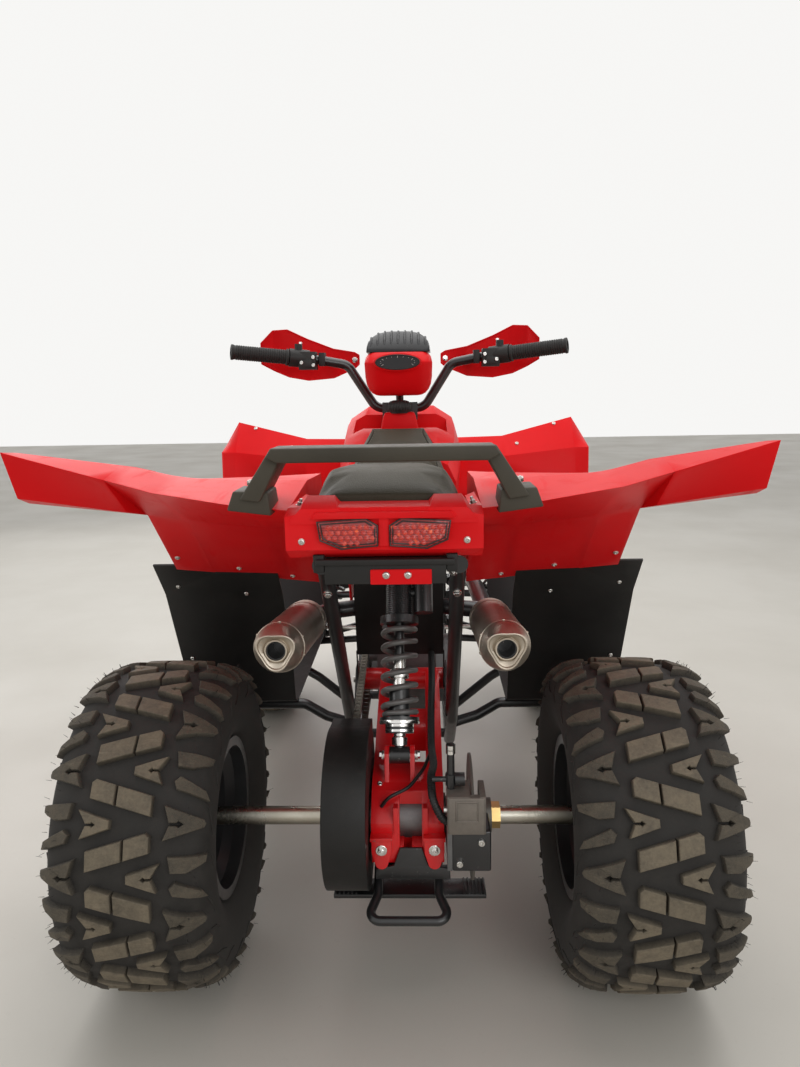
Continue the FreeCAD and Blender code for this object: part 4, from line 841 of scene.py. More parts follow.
def tyrePiece(name, spec, centres, body, replaced):
    wall = Wall(spec)
    right = [tuple(point) for point in wall.path][::-1]
    left = [(-x, r) for x, r in right[-2::-1]]
    inner = [(-60 * spec["scale"], 150), (60 * spec["scale"], 150)]
    pieces = []
    shapes = [treadStep("evenStep", spec, -1), treadStep("oddStep", spec, 1)]
    for centre in centres:
        points, faces = turned(centre, (1, 0, 0), right + left + inner, 132)
        carcass = meshObject("carcass", points, faces, finishes["tyreRubber"])
        for label in ("top", "stipple"):
            carcass.data.attributes.new(label, "FLOAT", "POINT")
        pieces.append(carcass)
        for k, shape in enumerate(shapes):
            turns = [360 * step / spec["steps"] + spec["phase"] for step in range(k, spec["steps"], 2)]
            spots = [(centre, (math.radians(turn), 0, 0), 1.0) for turn in turns]
            pieces.append(scattered("lugs", shape, spots, finishes["tyreRubber"], keep=True))
    for shape in shapes:
        bpy.data.objects.remove(shape)
    piece = joined(name, pieces)
    piece.data.set_sharp_from_angle(angle=math.radians(38))
    return hand(piece, body, "tyre_rubber", replaced)


low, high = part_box("rear_tyres")
half = tyres["rear"]["half"] / 1000
rearCentres = [Vector((x, rearAxle.y, rearAxle.z)) for x in (low.x + half, high.x - half)]
tyrePiece("rearTyres", tyres["rear"], rearCentres, "rear_axle", "rear_tyres")
for side in ("left", "right"):
    node = "front_tyre_" + side
    tyrePiece("frontTyre" + side.title(), tyres["front"], [middleOf(node)], "front_wheel_" + side, node)
print("tyres")


def loftForm(sections, finish, sharp=35):
    # solid through outlines of equal length, in millimetres from the rear axle's middle
    rings = [[toFrame(*point) for point in section] for section in sections]
    return lofted("form", rings, finishes[finish], sharp)


def slabForm(axis, outline, low, high, finish):
    # flat outline thickened along y or z
    ends = (low, high)
    if axis == "y":
        return loftForm([[(a, end, b) for a, b in outline] for end in ends], finish)
    return loftForm([[(a, b, end) for a, b in outline] for end in ends], finish)


def boxForm(x, y, z, finish):
    return slabForm("z", [(x[0], y[0]), (x[1], y[0]), (x[1], y[1]), (x[0], y[1])], *z, finish)


def uprightForm(x, z, y, finish):
    # a box made from its front to its back
    return slabForm("y", [(x[0], z[0]), (x[1], z[0]), (x[1], z[1]), (x[0], z[1])], *y, finish)


def sideBox(side, x, y, z, finish):
    return boxForm(sorted((side * x[0], side * x[1])), y, z, finish)


def copied(node, finish):
    return painted(cleanCopy("copy", node), finish)


def dressed(name, forms, width, body, slot, *replaced, segments=3):
    return hand(roundEdges(joined(name, forms), width, segments), body, slot, *replaced)


# two points of the bar's axis; the grip's inner and outer end along it from the first; bore and rib spacing
grip = {"start": (190, 622, 1104), "end": (384, 556, 1124), "from": 76, "to": 209.5, "bar": 11.1, "ribs": 5.2}

# grab rail: moulded bar whose arms end in plates on the fenders
railBar = [(-142, 940), (142, 940), (158, 948), (150, 960), (-150, 960), (-158, 948)]
railArm = [
    # y, then x and z of: inner top, outer top, outer low, inner low
    (-252, (132, 960), (152, 960), (198, 890), (170, 886)),
    (-150, (134, 956), (154, 956), (200, 886), (174, 884)),
]
railPlate = [(160, 899), (208, 901), (218, 874), (156, 866)]
forms = [slabForm("y", railBar, -264, -206, "darkPlastic")]
for side in (-1, 1):
    forms.append(loftForm([[(x * side, y, z) for x, z in corners] for y, *corners in railArm], "darkPlastic"))
    forms.append(slabForm("y", [(x * side, z) for x, z in railPlate], -244, -176, "darkPlastic"))
dressed("grabRail", forms, 0.0026, "chassis", "dark_plastic", "grab_rail")

# tail panel: ridges beside the trough, and a hood over the lamps
# y, four places across, low and high edge of a ridge at its back and front
tailRidge = [(-270, 50, 62, 112, 126, 866, 879), (-237, 52, 68, 106, 122, 874, 893)]
forms = [copied("tail_panel", "redPlastic")]
for side in (-1, 1):
    sections = []
    for y, a, b, c, d, low, high in tailRidge:
        corners = [(a, low - 8), (a, low), (b, high), (c, high), (d, low - 2), (d, low - 8)]
        sections.append([(x * side, y, z) for x, z in corners])
    forms.append(loftForm(sections, "redPlastic"))
sections = []
for y, grow, rise in ((-277, 0, 0), (-262, 4, 3)):
    corners = [(-96 - grow, 866), (96 + grow, 866), (90 + grow, 874), (-90 - grow, 874)]
    sections.append([(x, y, z + rise) for x, z in corners])
forms.append(loftForm(sections, "redPlastic"))
forms.append(uprightForm((-6.5, 6.5), (828, 866), (-272, -262), "redPlastic"))
dressed("tailPanel", forms, 0.003, "chassis", "red_plastic", "tail_panel")

# black bar and inner box under the lamps
forms = [uprightForm((-96, 96), (797, 806), (-257, -246), "blackPlastic")]
forms += [sideBox(side, (84.5, 100), (-252, -236), (786, 812), "blackPlastic") for side in (-1, 1)]
dressed("tailBar", forms, 0.002, "chassis", "black_plastic")
forms = [boxForm((-21, 64), (-255, -251), (769.5, 791), "redPlastic")]
dressed("tailPlate", forms, 0.0018, "chassis", "red_plastic")

stemTop = (640, 968)  # y and z from which pod and visor are measured
# instrument pod: round-cornered rings with a furrow down the middle, and a collar round the dial
# height, half width, near and far y of each ring
podRings = [(50, 44, -84, -18), (51.5, 53, -96, -12), (56, 62, -106, -7), (64, 69, -116, -3),
            (76, 74.5, -125, 0), (92, 77, -134, 1), (124, 78, -150, 2), (138, 75, -136, 1), (147.6, 68, -121, 0)]
podShape = {"points": 40, "square": 0.55, "furrow": 5, "furrowHalf": 16}
podDial = {"middle": 1092, "width": 54.5, "height": 20.5, "near": 486.5, "far": 530}


def podRing(up, wide, near, far):
    points = []
    for k in range(podShape["points"]):
        angle = 2 * math.pi * (k + 0.5) / podShape["points"]
        across, along = math.cos(angle), math.sin(angle)
        x = wide * math.copysign(abs(across) ** podShape["square"], across)
        reach = (far - near) / 2 * math.copysign(abs(along) ** podShape["square"], along)
        y = (near + far) / 2 + reach
        if along < 0:
            y += podShape["furrow"] * max(0, 1 - abs(x) / podShape["furrowHalf"])
        points.append((x, stemTop[0] + y, stemTop[1] + up))
    return points


oval = []
for k in range(40):
    x, z = podDial["width"] * math.cos(math.pi * k / 20), podDial["height"] * math.sin(math.pi * k / 20)
    oval.append((x, podDial["middle"] + z))
forms = [
    loftForm([podRing(*row) for row in podRings], "redPlastic", 40),
    slabForm("y", oval, podDial["near"], podDial["far"], "redPlastic"),
]
dressed("instrumentPod", forms, 0.0025, "steering", "red_plastic", "instrument_pod")

# visor: domed hood, wide at the pod; height over the stem's top, half width, near and far y
visorRises = [(148.4, 75, -106, -3), (160, 74, -99, -5), (172, 71, -86, -9), (183, 63, -70, -16),
              (192, 50, -57, -23), (197, 32, -48, -28)]
visorBow = 10
sections = []
for rise, wide, near, far in visorRises:
    y, z = stemTop
    outline = []
    for k in range(-5, 6):
        angle = k * math.pi / 12
        outline.append((wide * math.sin(angle), near - visorBow * math.cos(angle) + visorBow * 0.2))
    outline += [(wide, far), (-wide, far)]
    sections.append([(a, y + b, z + rise) for a, b in outline])
dressed("podVisor", [loftForm(sections, "glossPlastic", 50)], 0.004, "steering", "black_plastic", "visor")

# hand guards, measured from the first of the bar's two points: x, y, low z, high z
guardStations = [(-90, 78, -10, 14), (-78, 81, -20, 21), (-24, 94, -42, 31), (40, 93, -47, 56),
                 (88, 85, -38, 79), (122, 66, -22, 76), (147, 34, -6, 44)]
guardLip = 5
gripStart = Vector(grip["start"])


def guard(side):
    sections = []
    for x, y, lowEdge, highEdge in guardStations:
        base = gripStart + Vector((x, y, 0))
        lowLip, highLip = lowEdge + guardLip, highEdge - guardLip
        corners = [(0, lowEdge), (3, lowLip), (3, highLip), (0, highEdge), (-5, highEdge), (-2.5, highLip),
                   (-2.5, lowLip), (-5, lowEdge)]
        sections.append([(base.x * side, base.y + b, base.z + c) for b, c in corners])
    return loftForm(sections, "redPlastic", 28)


forms = [guard(side) for side in (-1, 1)]
rails = []
for side in (-1, 1):
    for start, end in (((-20, -2, -6), (-20, 91, -6)), ((24, 17, 8), (24, 90, 8))):
        ends = [gripStart + Vector(point) for point in (start, end)]
        rails.append([toFrame(point.x * side, point.y, point.z) for point in ends])
dressed("handguardShells", forms, 0.0014, "steering", "red_plastic", "handguards", segments=2)
hand(wire("guardStays", rails, 5.5, finishes["blackPlastic"], 14), "steering", "black_plastic")

# switch pods beside the grips, with their buttons and clamps
controlBoxes = [  # x, y and z of block, buttons and clamp
    ((196, 236), (590, 636), (1082, 1123)), ((204, 230), (586, 592), (1088, 1104)),
    ((176, 190), (604, 640), (1090, 1121)),
]
forms = [copied("hand_controls", "blackPlastic")]
for side in (-1, 1):
    forms += [sideBox(side, *ranges, "blackPlastic") for ranges in controlBoxes]
dressed("controlPods", forms, 0.002, "steering", "black_plastic", "hand_controls", segments=2)

# swingarm: the clamp's slot shows the carrier; its two lugs end in round tips
clampSlot = (5, 44)
armBody = copied("swingarm", "redMetal")
cutter = boxForm(clampSlot, (-95, -20), (255, 338), "redMetal")
cut = armBody.modifiers.new("slot", "BOOLEAN")
cut.object = cutter
cut.solver = "EXACT"
settled(armBody)
bpy.data.objects.remove(cutter)
forms = [armBody]
for x in (-26, 65):
    outline = [(x - 17, 279), (x + 17, 279), (x + 17, 252)]
    for angle in (math.radians(degrees) for degrees in range(-10, -171, -20)):
        outline.append((x + 11 * math.cos(angle), 233 + 11 * math.sin(angle)))
    forms.append(slabForm("y", outline + [(x - 17, 252)], -79, -46, "redMetal"))
    forms.append(uprightForm((x - 19, x + 19), (274, 281), (-81, -60), "redMetal"))
for x in (clampSlot[0] - 6, clampSlot[1] + 6):
    forms.append(uprightForm((x - 4, x + 4), (282, 330), (-69, -52), "redMetal"))
dressed("swingarmShell", forms, 0.0022, "chassis", "red_metal", "swingarm")

# skid plate, ledge and ribbed step that the loop and its straps carry
plate = [(5, 254), (44, 254), (54, 221), (92, 215), (92, 195), (-38, 195), (-38, 215), (-6, 221)]
forms = [
    slabForm("y", plate, -67, -62, "blackMetal"),
    boxForm((-38, 92), (-64, -28), (195, 199), "blackMetal"),
    boxForm((-20, 70), (-40, -28), (196, 213), "blackMetal"),
    boxForm((-118, 158), (-24, 26), (128, 136), "blackMetal"),
]
forms += [boxForm((x - 5, x + 5), (2, 22), (134, 227), "blackMetal") for x in (-36, 74)]
for start, end in ((-118, -74), (116, 158)):
    for k in range(6):
        x = start + 3 + (end - start - 6) * k / 5
        forms.append(boxForm((x - 1.6, x + 1.6), (-23, 25), (135, 139), "blackMetal"))
dressed("skidPlates", forms, 0.0012, "chassis", "black_metal", segments=2)

# slide pin, its head and the lever rod of the brake caliper
pinPaths = [  # ends of each bar and its radius
    ((93, -96, 372), (93, -96, 446), 6.4), ((93, -96, 388), (93, -96, 408), 9),
    ((62, -96, 398), (112, -96, 398), 4.6), ((100, -96, 398), (116, -96, 398), 11),
]
forms = []
for *ends, thick in pinPaths:
    forms.append(wire("pin", [[toFrame(*end) for end in ends]], thick, finishes["blackMetal"], 16))
hand(joined("caliperPins", forms), "chassis", "black_metal")
paths = [[toFrame(93, -96, z) for z in heights] for heights in ((444, 452), (450, 459))]
hand(wire("pinHead", paths, 8, finishes["chromeSteel"], 16), "chassis", "zinc_steel")

# caliper housing over the node's body: two cheeks beside the disc, a bridge behind, a cast frame on its face
housing = [
    ((86, 123), (-128, -68), (316, 382)), ((139, 149), (-128, -68), (316, 382)),
    ((88, 147), (-130, -115), (317, 381)),
    ((99, 137), (-131.6, -129), (373, 376)), ((99, 137), (-131.6, -129), (339, 342)),
    ((99, 102), (-131.6, -129), (341, 374)), ((134, 137), (-131.6, -129), (341, 374)),
]
forms = [boxForm(*ranges, "caliperCast") for ranges in housing]
dressed("caliperHousing", forms, 0.0014, "chassis", "black_metal", segments=2)
print("dressed forms")


# foot and top of each spring's axis; where the coil begins and ends along it; coil and wire radii
springs = {
    "rearSpring": {"node": "rear_spring", "foot": (5, 22, 384), "top": (5, 178, 698), "from": 66, "to": 113,
                   "radius": 30, "wire": 5.2, "turns": 7, "sides": (1,)},
    "frontSprings": {"node": "front_springs", "foot": (283.2, 1200, 262.2), "top": (160, 1188, 604.3),
                     "from": 46, "to": 98, "radius": 26, "wire": 4.6, "turns": 8, "sides": (-1, 1)},
}


# steps in a turn; the end coils lie closed over a share of a turn, rise less there and end a little inside
coil = {"steps": 26, "closed": 0.8, "closedRise": 0.35, "endSteps": 6, "endInset": 2.5}


def coilPath(spec, side):
    foot = Vector(spec["foot"])
    along = Vector(spec["top"]) - foot
    length = along.length
    along.normalize()
    across = Vector((0, 0, 1)).cross(along).normalized()
    other = along.cross(across)
    start = spec["from"] + spec["wire"]
    height = length - spec["to"] - spec["from"] - 2 * spec["wire"]
    count = coil["steps"] * spec["turns"]
    rises = []
    for step in range(count + 1):
        turn = spec["turns"] * step / count
        rises.append(coil["closedRise"] if min(turn, spec["turns"] - turn) < coil["closed"] else 1.0)
    total = sum(rises[1:])
    path = []
    risen = 0
    for step in range(count + 1):
        risen += rises[step] if step else 0
        angle = 2 * math.pi * spec["turns"] * step / count
        reach = spec["radius"] - (coil["endInset"] if min(step, count - step) < coil["endSteps"] else 0)
        point = foot + along * (start + height * risen / total)
        point += (across * math.cos(angle) + other * math.sin(angle)) * reach
        path.append(toFrame(point.x * side, point.y, point.z))
    return path


for pieceName, spec in springs.items():
    paths = [coilPath(spec, side) for side in spec["sides"]]
    piece = wire(pieceName, paths, spec["wire"], finishes["springPaint"], 12)
    hand(piece, "chassis", "spring_paint", spec["node"])


def sleeves(name, spec, profiles, finishName, slot):
    # turned collars round the rear shock's axis; each profile is (distance along the axis, radius)
    start, end = toFrame(*spec["foot"]), toFrame(*spec["top"])
    pieces = []
    for profile in profiles:
        points, faces = turned(start, end - start, profile, 40)
        pieces.append(meshObject(name, points, faces, finishes[finishName]))
    hand(tidyNormals(joined(name, pieces)), "chassis", slot)


sleeves("shockCollars", springs["rearSpring"], [
    [(16, 9.1), (16, 14), (30, 14.5), (33, 11), (37, 11), (37, 9.1)],
    [(37.6, 9.2), (37.6, 22), (40, 26.4), (44, 26.4), (45, 24.8), (48, 24.8), (49, 26.4), (53.6, 26.4),
     (53.6, 9.2)],
    [(53.8, 26.2), (54.2, 36.6), (57, 37.2), (60, 36.6), (61, 30), (62, 26.2)],
    [(120.3, 9.1), (120.3, 11.4), (172, 11.4), (172, 9.1)],
    [(136, 11.2), (136, 16.5), (138, 17.5), (152, 17.5), (154, 16.5), (154, 11.2)],
], "chromeSteel", "zinc_steel")
ridges = [(253 + k, 25.6 if k % 4 < 2 else 24.6) for k in range(1, 58)]
profiles = [[(253, 24.1), *ridges, (311, 24.1)]]
sleeves("shockThreads", springs["rearSpring"], profiles, "blackMetal", "black_metal")

# chain: rear and front sprocket centres (y, z) and pitch radii, middle x
chain = {
    "rear": (0, 279), "rearRadius": 98.8, "front": (470, 420), "frontRadius": 40.8, "x": -82, "pitch": 12.7,
}


def chainPins(spec):
    rear, front = Vector(spec["rear"]), Vector(spec["front"])
    span = front - rear
    lean = math.asin((spec["rearRadius"] - spec["frontRadius"]) / span.length)
    bearing = math.atan2(span.y, span.x)
    up, down = bearing + math.pi / 2 - lean, bearing - math.pi / 2 + lean
    path = []
    for centre, radius, start, end in (
        (rear, spec["rearRadius"], up, down + 2 * math.pi),
        (front, spec["frontRadius"], down, up),
    ):
        count = 90
        for k in range(count + 1):
            angle = start + (end - start) * k / count
            path.append(centre + Vector((math.cos(angle), math.sin(angle))) * radius)
    path.append(path[0])
    runs = [0]
    for a, b in zip(path, path[1:]):
        runs.append(runs[-1] + (b - a).length)
    number = 2 * round(runs[-1] / spec["pitch"] / 2)
    pins = []
    k = 0
    for pin in range(number):
        distance = runs[-1] * pin / number
        while runs[k + 1] < distance:
            k += 1
        pins.append(path[k].lerp(path[k + 1], (distance - runs[k]) / (runs[k + 1] - runs[k])))
    return pins


def linkShape(name, width, high, reach, pin):
    # two waisted plates with their pins or bushes of (half length, radius)
    slant, waist, thick = high * 0.7, high * 0.62, 0.7
    outline = [(-reach - slant, -slant), (-reach, -high), (0, -waist), (reach, -high), (reach + slant, -slant),
               (reach + high, 0), (reach + slant, slant), (reach, high), (0, waist), (-reach, high),
               (-reach - slant, slant), (-reach - high, 0)]
    points, faces = [], []
    for x in (-width, width):
        faces += ringFaces(len(outline), first=len(points))
        for edge in (-thick, thick):
            points += [(x + edge, y, z) for y, z in outline]
    half, radius = pin
    for y in (-reach, reach):
        faces += ringFaces(8, first=len(points))
        for x in (-half, half):
            for angle in (k * math.pi / 4 for k in range(8)):
                points.append((x, y + radius * math.cos(angle), radius * math.sin(angle)))
    return tidyNormals(meshObject(name, [Vector(point) / 1000 for point in points], faces), 35)


pins = chainPins(chain)
linkSpots = [[], []]
for k, pin in enumerate(pins):
    after = pins[(k + 1) % len(pins)]
    middle = (pin + after) / 2
    angle = math.atan2(after.y - pin.y, after.x - pin.x)
    linkSpots[k % 2].append((toFrame(chain["x"], middle.x, middle.y), (angle, 0, 0), 1.0))
pitch = (pins[1] - pins[0]).length
links = []
for kind, width, pin, spots in zip(("outer", "inner"), (6.2, 4.4), ((7.4, 2.2), (4.4, 4.2)), linkSpots):
    shape = linkShape(kind + "Link", width, 5.4, pitch / 2, pin)
    links.append(scattered(kind + "Links", shape, spots, finishes["chainSteel"]))
hand(joined("driveChain", links), "chassis", "chain_steel", "drive_chain")
print("springs and chain of", len(pins), "links")

# end of the muffler, its rise forwards, canister radius and length, end face's mean radius and corners, and its
# rings: (distance from the end, extra radius), (depth, less of the face) and (depth, radius) of the outlet
muffler = {
    "end": (180, -140, 636), "rise": -0.14, "radius": 40.4, "length": 326, "face": 30.2, "corner": 3.8,
    "canister": [(324, 0), (300, 0), (299, 1.0), (286, 1.0), (285, 0), (48, 0), (47, 0.8), (36, 0.8),
                 (35, -0.4), (30, -0.8)],
    "lip": [(-1.0, 0.7), (-1.4, 2.0), (-0.8, 3.2), (1.6, 4.6), (3.4, 8.0)],
    "outlet": [(6.5, 19.5), (5.6, 18.6), (2.2, 18.2), (1.4, 17.4), (1.6, 15.6), (6, 15.1), (60, 15.05)],
    "liner": [(0, 14.9), (54, 14.9), (54, 1), (53, 1), (53, 13.6), (0, 13.6)],
}


def mufflerRings(spec, side):
    along = Vector((0, 1, spec["rise"])).normalized()
    up = Vector((0, -along.z, along.y))
    end = Vector(spec["end"])
    count = 60

    def ring(centre, radius, upright=1.0):
        lift = up.lerp(Vector((0, 0, 1)), upright)
        points = []
        for k in range(count):
            angle = 2 * math.pi * k / count
            reach = radius(angle) if callable(radius) else radius
            spot = centre + Vector((math.cos(angle), 0, 0)) * reach + lift * math.sin(angle) * reach
            points.append(toFrame(spot.x * side, spot.y, spot.z))
        return points

    def triangle(less=0):
        # the end face's three rounded corners
        corner = spec["corner"] - less * 0.15
        return lambda angle: spec["face"] - less + corner * math.cos(3 * (angle - math.pi / 6))

    rings = [ring(end + along * 372, 22, 0), ring(end + along * (spec["length"] + 2), spec["radius"] - 1.5, 0)]
    for distance, extra in spec["canister"]:
        rings.append(ring(end + along * distance, spec["radius"] + extra, 0))
    outer = triangle()
    for k in range(1, 9):
        share = k / 8
        blend = share**1.7
        centre = end + Vector((0, 27 * (1 - share), -4 * (1 - share)))
        rings.append(ring(centre, lambda angle: (spec["radius"] - 0.8) * (1 - blend) + outer(angle) * blend))
    for depth, less in spec["lip"]:
        rings.append(ring(end + Vector((0, depth, 0)), triangle(less)))
    for depth, radius in spec["outlet"]:
        rings.append(ring(end + Vector((0, depth, depth * spec["rise"])), radius))
    return rings


shells = []
liners = []
for side in (-1, 1):
    shells.append(lofted("shell", mufflerRings(muffler, side), finishes["mufflerSteel"], 30))
    x, y, z = muffler["end"]
    points, faces = turned(toFrame(x * side, y + 5, z), (0, 1, muffler["rise"]), muffler["liner"], 40)
    liners.append(tidyNormals(meshObject("liner", points, faces, finishes["blackMetal"])))
hand(joined("mufflerShells", shells), "chassis", "muffler_steel", "mufflers")
hand(joined("mufflerLiners", liners), "chassis", "black_metal")

# grips: flange, ribs and end bead, as (distance along the bar, radius)
inner, outer, bar = grip["from"], grip["to"], grip["bar"]
profile = [(inner, bar), (inner, 19.2), (inner + 4, 19.6), (inner + 6, 17)]
step = inner + 8
while step < outer - 12:
    profile += [(step, 15.9), (step + 0.8, 17), (step + 3.4, 17.1), (step + 4.2, 15.9)]
    step += grip["ribs"]
profile += [(outer - 8, 16.4), (outer - 5, 18), (outer - 1, 17.6), (outer, 14), (outer, bar)]
rubbers = []
for side in (-1, 1):
    start, end = (toFrame(grip[key][0] * side, *grip[key][1:]) for key in ("start", "end"))
    points, faces = turned(start, end - start, profile, 36)
    rubbers.append(tidyNormals(meshObject("grip", points, faces, finishes["gripRubber"]), 50))
hand(joined("ribbedGrips", rubbers), "steering", "grip_rubber", "grips")
print("mufflers and grips")


def ringedShape(name, rings, count=12):
    # small turned shape standing on z = 0; rings of (height, radius), and True where the ring is hexagonal
    points = []
    for height, radius, *hexagonal in rings:
        for k in range(count):
            reach = radius * (1 if k % 2 == 0 or not hexagonal else math.cos(math.pi / 6))
            angle = 2 * math.pi * k / count
            points.append(Vector((reach * math.cos(angle), reach * math.sin(angle), height)) / 1000)
    return tidyNormals(meshObject(name, points, ringFaces(count, len(rings))), 30)


fastenerShapes = {
    "hex": [(-1, 8.6), (1.2, 8.6), (1.5, 8.0), (1.5, 6.6, True), (5.4, 6.6, True),
            (6, 5.6)],
    "pan": [(-1, 5), (1.1, 5), (2.5, 3.9), (3, 2.4), (1.6, 1.6, True)],
    "socket": [(-1, 4.7), (4.6, 4.7), (5.2, 4.2), (5.2, 2.7, True), (2.4, 2.6, True)],
    "washered": [(-1, 10), (1.6, 10), (2, 9.4), (2, 6.4, True), (7, 6.4, True),
                 (7.6, 5.2), (7.6, 3), (9.5, 2.6)],
    "rivet": [(-0.5, 2.6), (0.6, 2.5), (1.5, 1.5)],
    "stud": [(-1, 6.5), (0.8, 6.5), (0.8, 4.8, True), (5.5, 4.8, True), (6, 3.6),
             (6, 2.6), (11, 2.6), (11.6, 2)],
}


def onSurface(carrier, start, toward):
    # where a line from start first meets the carrier, and which way the carrier faces there
    origin = toFrame(*start)
    inverse = carrier.matrix_world.inverted()
    direction = (inverse.to_3x3() @ Vector(toward)).normalized()
    met, place, normal, _ = carrier.ray_cast(inverse @ origin, direction)
    if not met:
        print("nothing under a fastener of", carrier.name, start)
        return None
    return carrier.matrix_world @ place, (carrier.matrix_world.to_3x3() @ normal).normalized()


scenePiece = bpy.data.objects
# piece: body, slot, finish, then shape, carrier, direction, size, starts and whether the left side has them too
fastenerSets = {
    "panelScrews": ("chassis", "zinc_steel", "zincSteel", [
        ("pan", "rearFenders", (0, 1, 0), 1.0, [(401, -400, 736), (297, -400, 706), (200, -400, 684)], True),
        ("pan", "tailPlate", (0, 1, 0), 1.1, [(1, -400, 783), (31, -400, 783)], False),
        ("washered", "grabRail", (0, 0, -1), 0.8, [(186, -218, 980)], True),
        ("stud", "tailPanel", (0, 0, -1), 0.9, [(125, -190, 980)], True),
        ("pan", "tailPanel", (0, 1, 0), 1.0, [(112, -400, 834)], True),
        ("pan", "heelPanels", (0, 1, 0), 0.9, [(430, -400, 660), (300, -400, 640), (440, -400, 480)], True),
        ("pan", "sidePanels", (-1, 0, 0), 1.0, [(400, 700, 800)], False),
        ("pan", "frontFenders", (0, 0, -1), 1.1, [(320, 960, 1200), (430, 1000, 1200)], True),
        ("pan", "noseCowl", (0, 0, -1), 1.1, [(60, 1150, 1200)], True),
    ]),
    "frameBolts": ("chassis", "zinc_steel", "chromeSteel", [
        ("hex", "frame_right", (0, 1, 0), 0.9, [(100, -400, 744), (108, -400, 700)], False),
        ("hex", "frame_left", (0, 1, 0), 0.9, [(-100, -400, 744), (-108, -400, 700)], False),
        ("washered", "swingarmShell", (0, 1, 0), 1.0, [(-26, -400, 258), (65, -400, 258)], False),
        ("stud", "swingarmShell", (0, 0, 1), 0.9, [(-26, -62, 100), (65, -62, 100)], False),
        ("pan", "swingarmShell", (0, 1, -0.5), 1.0, [(-30, -400, 540), (62, -400, 540)], False),
        ("hex", "pivot_bolts", (1, 0, 0), 1.0, [(-200, 22, 384), (-200, 178, 698)], False),
        ("hex", "pivot_bolts", (-1, 0, 0), 1.0, [(200, 22, 384), (200, 178, 698)], False),
    ]),
    "mufflerRivets": ("chassis", "muffler_steel", "mufflerSteel", [
        ("rivet", "mufflerShells", (math.cos(angle), 0, math.sin(angle)), 1.0,
         [(180 - 80 * math.cos(angle), -98, 630 - 80 * math.sin(angle))], True)
        for angle in (0.35, 1.45, 2.55, 3.65, 4.75, 5.85)
    ]),
    "caliperBolts": ("chassis", "zinc_steel", "zincSteel", [
        ("socket", "brakeCaliper", (0, 1, 0), 1.2, [(106, -400, 262), (142, -400, 300)], False),
        ("socket", "caliperHousing", (1, 0, 0), 1.1, [(-200, -112, 352)], False),
        ("socket", "brakeCaliper", (0, 0, 1), 1.2, [(108, -90, 150)], False),
    ]),
    "controlScrews": ("steering", "zinc_steel", "chromeSteel", [
        ("socket", "controlPods", (0, 1, 0), 0.9, [(201, 300, 1110), (201, 300, 1092), (228, 300, 1098)],
         True),
        ("socket", "controlPods", (0, 0, -1), 0.8, [(232, 606, 1300)], True),
        ("hex", "handguardShells", (0, 1, 0), 0.8, [(112, 400, 1106)], True),
        ("pan", "handguardShells", (0, -1, 0), 1.0, [(214, 900, 1110), (300, 900, 1116)], True),
    ]),
}


def facing(normal):
    return tuple(normal.to_track_quat("Z", "Y").to_euler())


bpy.context.view_layer.update()
for pieceName, (body, slotName, finishName, groups) in fastenerSets.items():
    spots = {}
    for shapeName, carrierName, toward, size, starts, both in groups:
        carrier = nodes.get(carrierName) or scenePiece[carrierName]
        for start in starts:
            for side in ((1, -1) if both else (1,)):
                found = onSurface(carrier, (start[0] * side, *start[1:]), (toward[0] * side, *toward[1:]))
                if found:
                    spots.setdefault(shapeName, []).append((found[0], facing(found[1]), size))
    parts = []
    for shapeName, places in spots.items():
        shape = ringedShape(shapeName, fastenerShapes[shapeName])
        parts.append(scattered(shapeName, shape, places, finishes[finishName]))
    hand(joined(pieceName, parts), body, slotName)
print("fasteners", {name: len(scenePiece[name].data.vertices) for name in fastenerSets})

# tail lamps: lens outline (x, z), y of its front; rows of lit domes behind a moulded rim
lampSpec = {
    "outline": [(8, 828), (8, 856), (24, 866), (90, 862), (86, 836), (58, 824)], "front": -274,
    "first": (6, 824), "step": 8.6, "rowShare": 0.86, "margin": 5.4,
}


def insideOutline(x, z, outline):
    inside = False
    for (ax, az), (bx, bz) in zip(outline, outline[1:] + outline[:1]):
        if (az > z) != (bz > z) and x < (bx - ax) * (z - az) / (bz - az) + ax:
            inside = not inside
    return inside


lens = roundEdges(cleanCopy("tailLenses", "tail_lamps"), 0.0022)
hand(painted(lens, "redLens"), "chassis", "red_lens", "tail_lamps")
front = lampSpec["front"]
domes = []
core = [tuple(point) for point in shrunk(lampSpec["outline"], lampSpec["margin"])]
for row in range(-1, 7):
    for column in range(-1, 12):
        x = lampSpec["first"][0] + (column + 0.5 * (row % 2)) * lampSpec["step"]
        z = lampSpec["first"][1] + row * lampSpec["step"] * lampSpec["rowShare"]
        if insideOutline(x, z, core):
            for side in (-1, 1):
                domes.append((toFrame(x * side, front, z), facing(Vector((0, -1, 0))), 1.0))
domeRings = [(-0.5, 3.6), (0.3, 3.6), (0.5, 2.9), (1.5, 2.2), (1.9, 1.0)]
dome = ringedShape("dome", domeRings)
hand(scattered("lampDomes", dome, domes, finishes["litRed"]), "chassis", "red_lens")
rims = []
for side in (-1, 1):
    for inset, depth in ((0.4, 0.4), (4.2, 0.2)):
        corners = shrunk(lampSpec["outline"], inset)
        rims.append([toFrame(x * side, front - depth, z) for x, z in corners])
hand(wire("lampRims", rims, 1.3, finishes["rimLens"], 8, closed=True), "chassis", "red_lens")
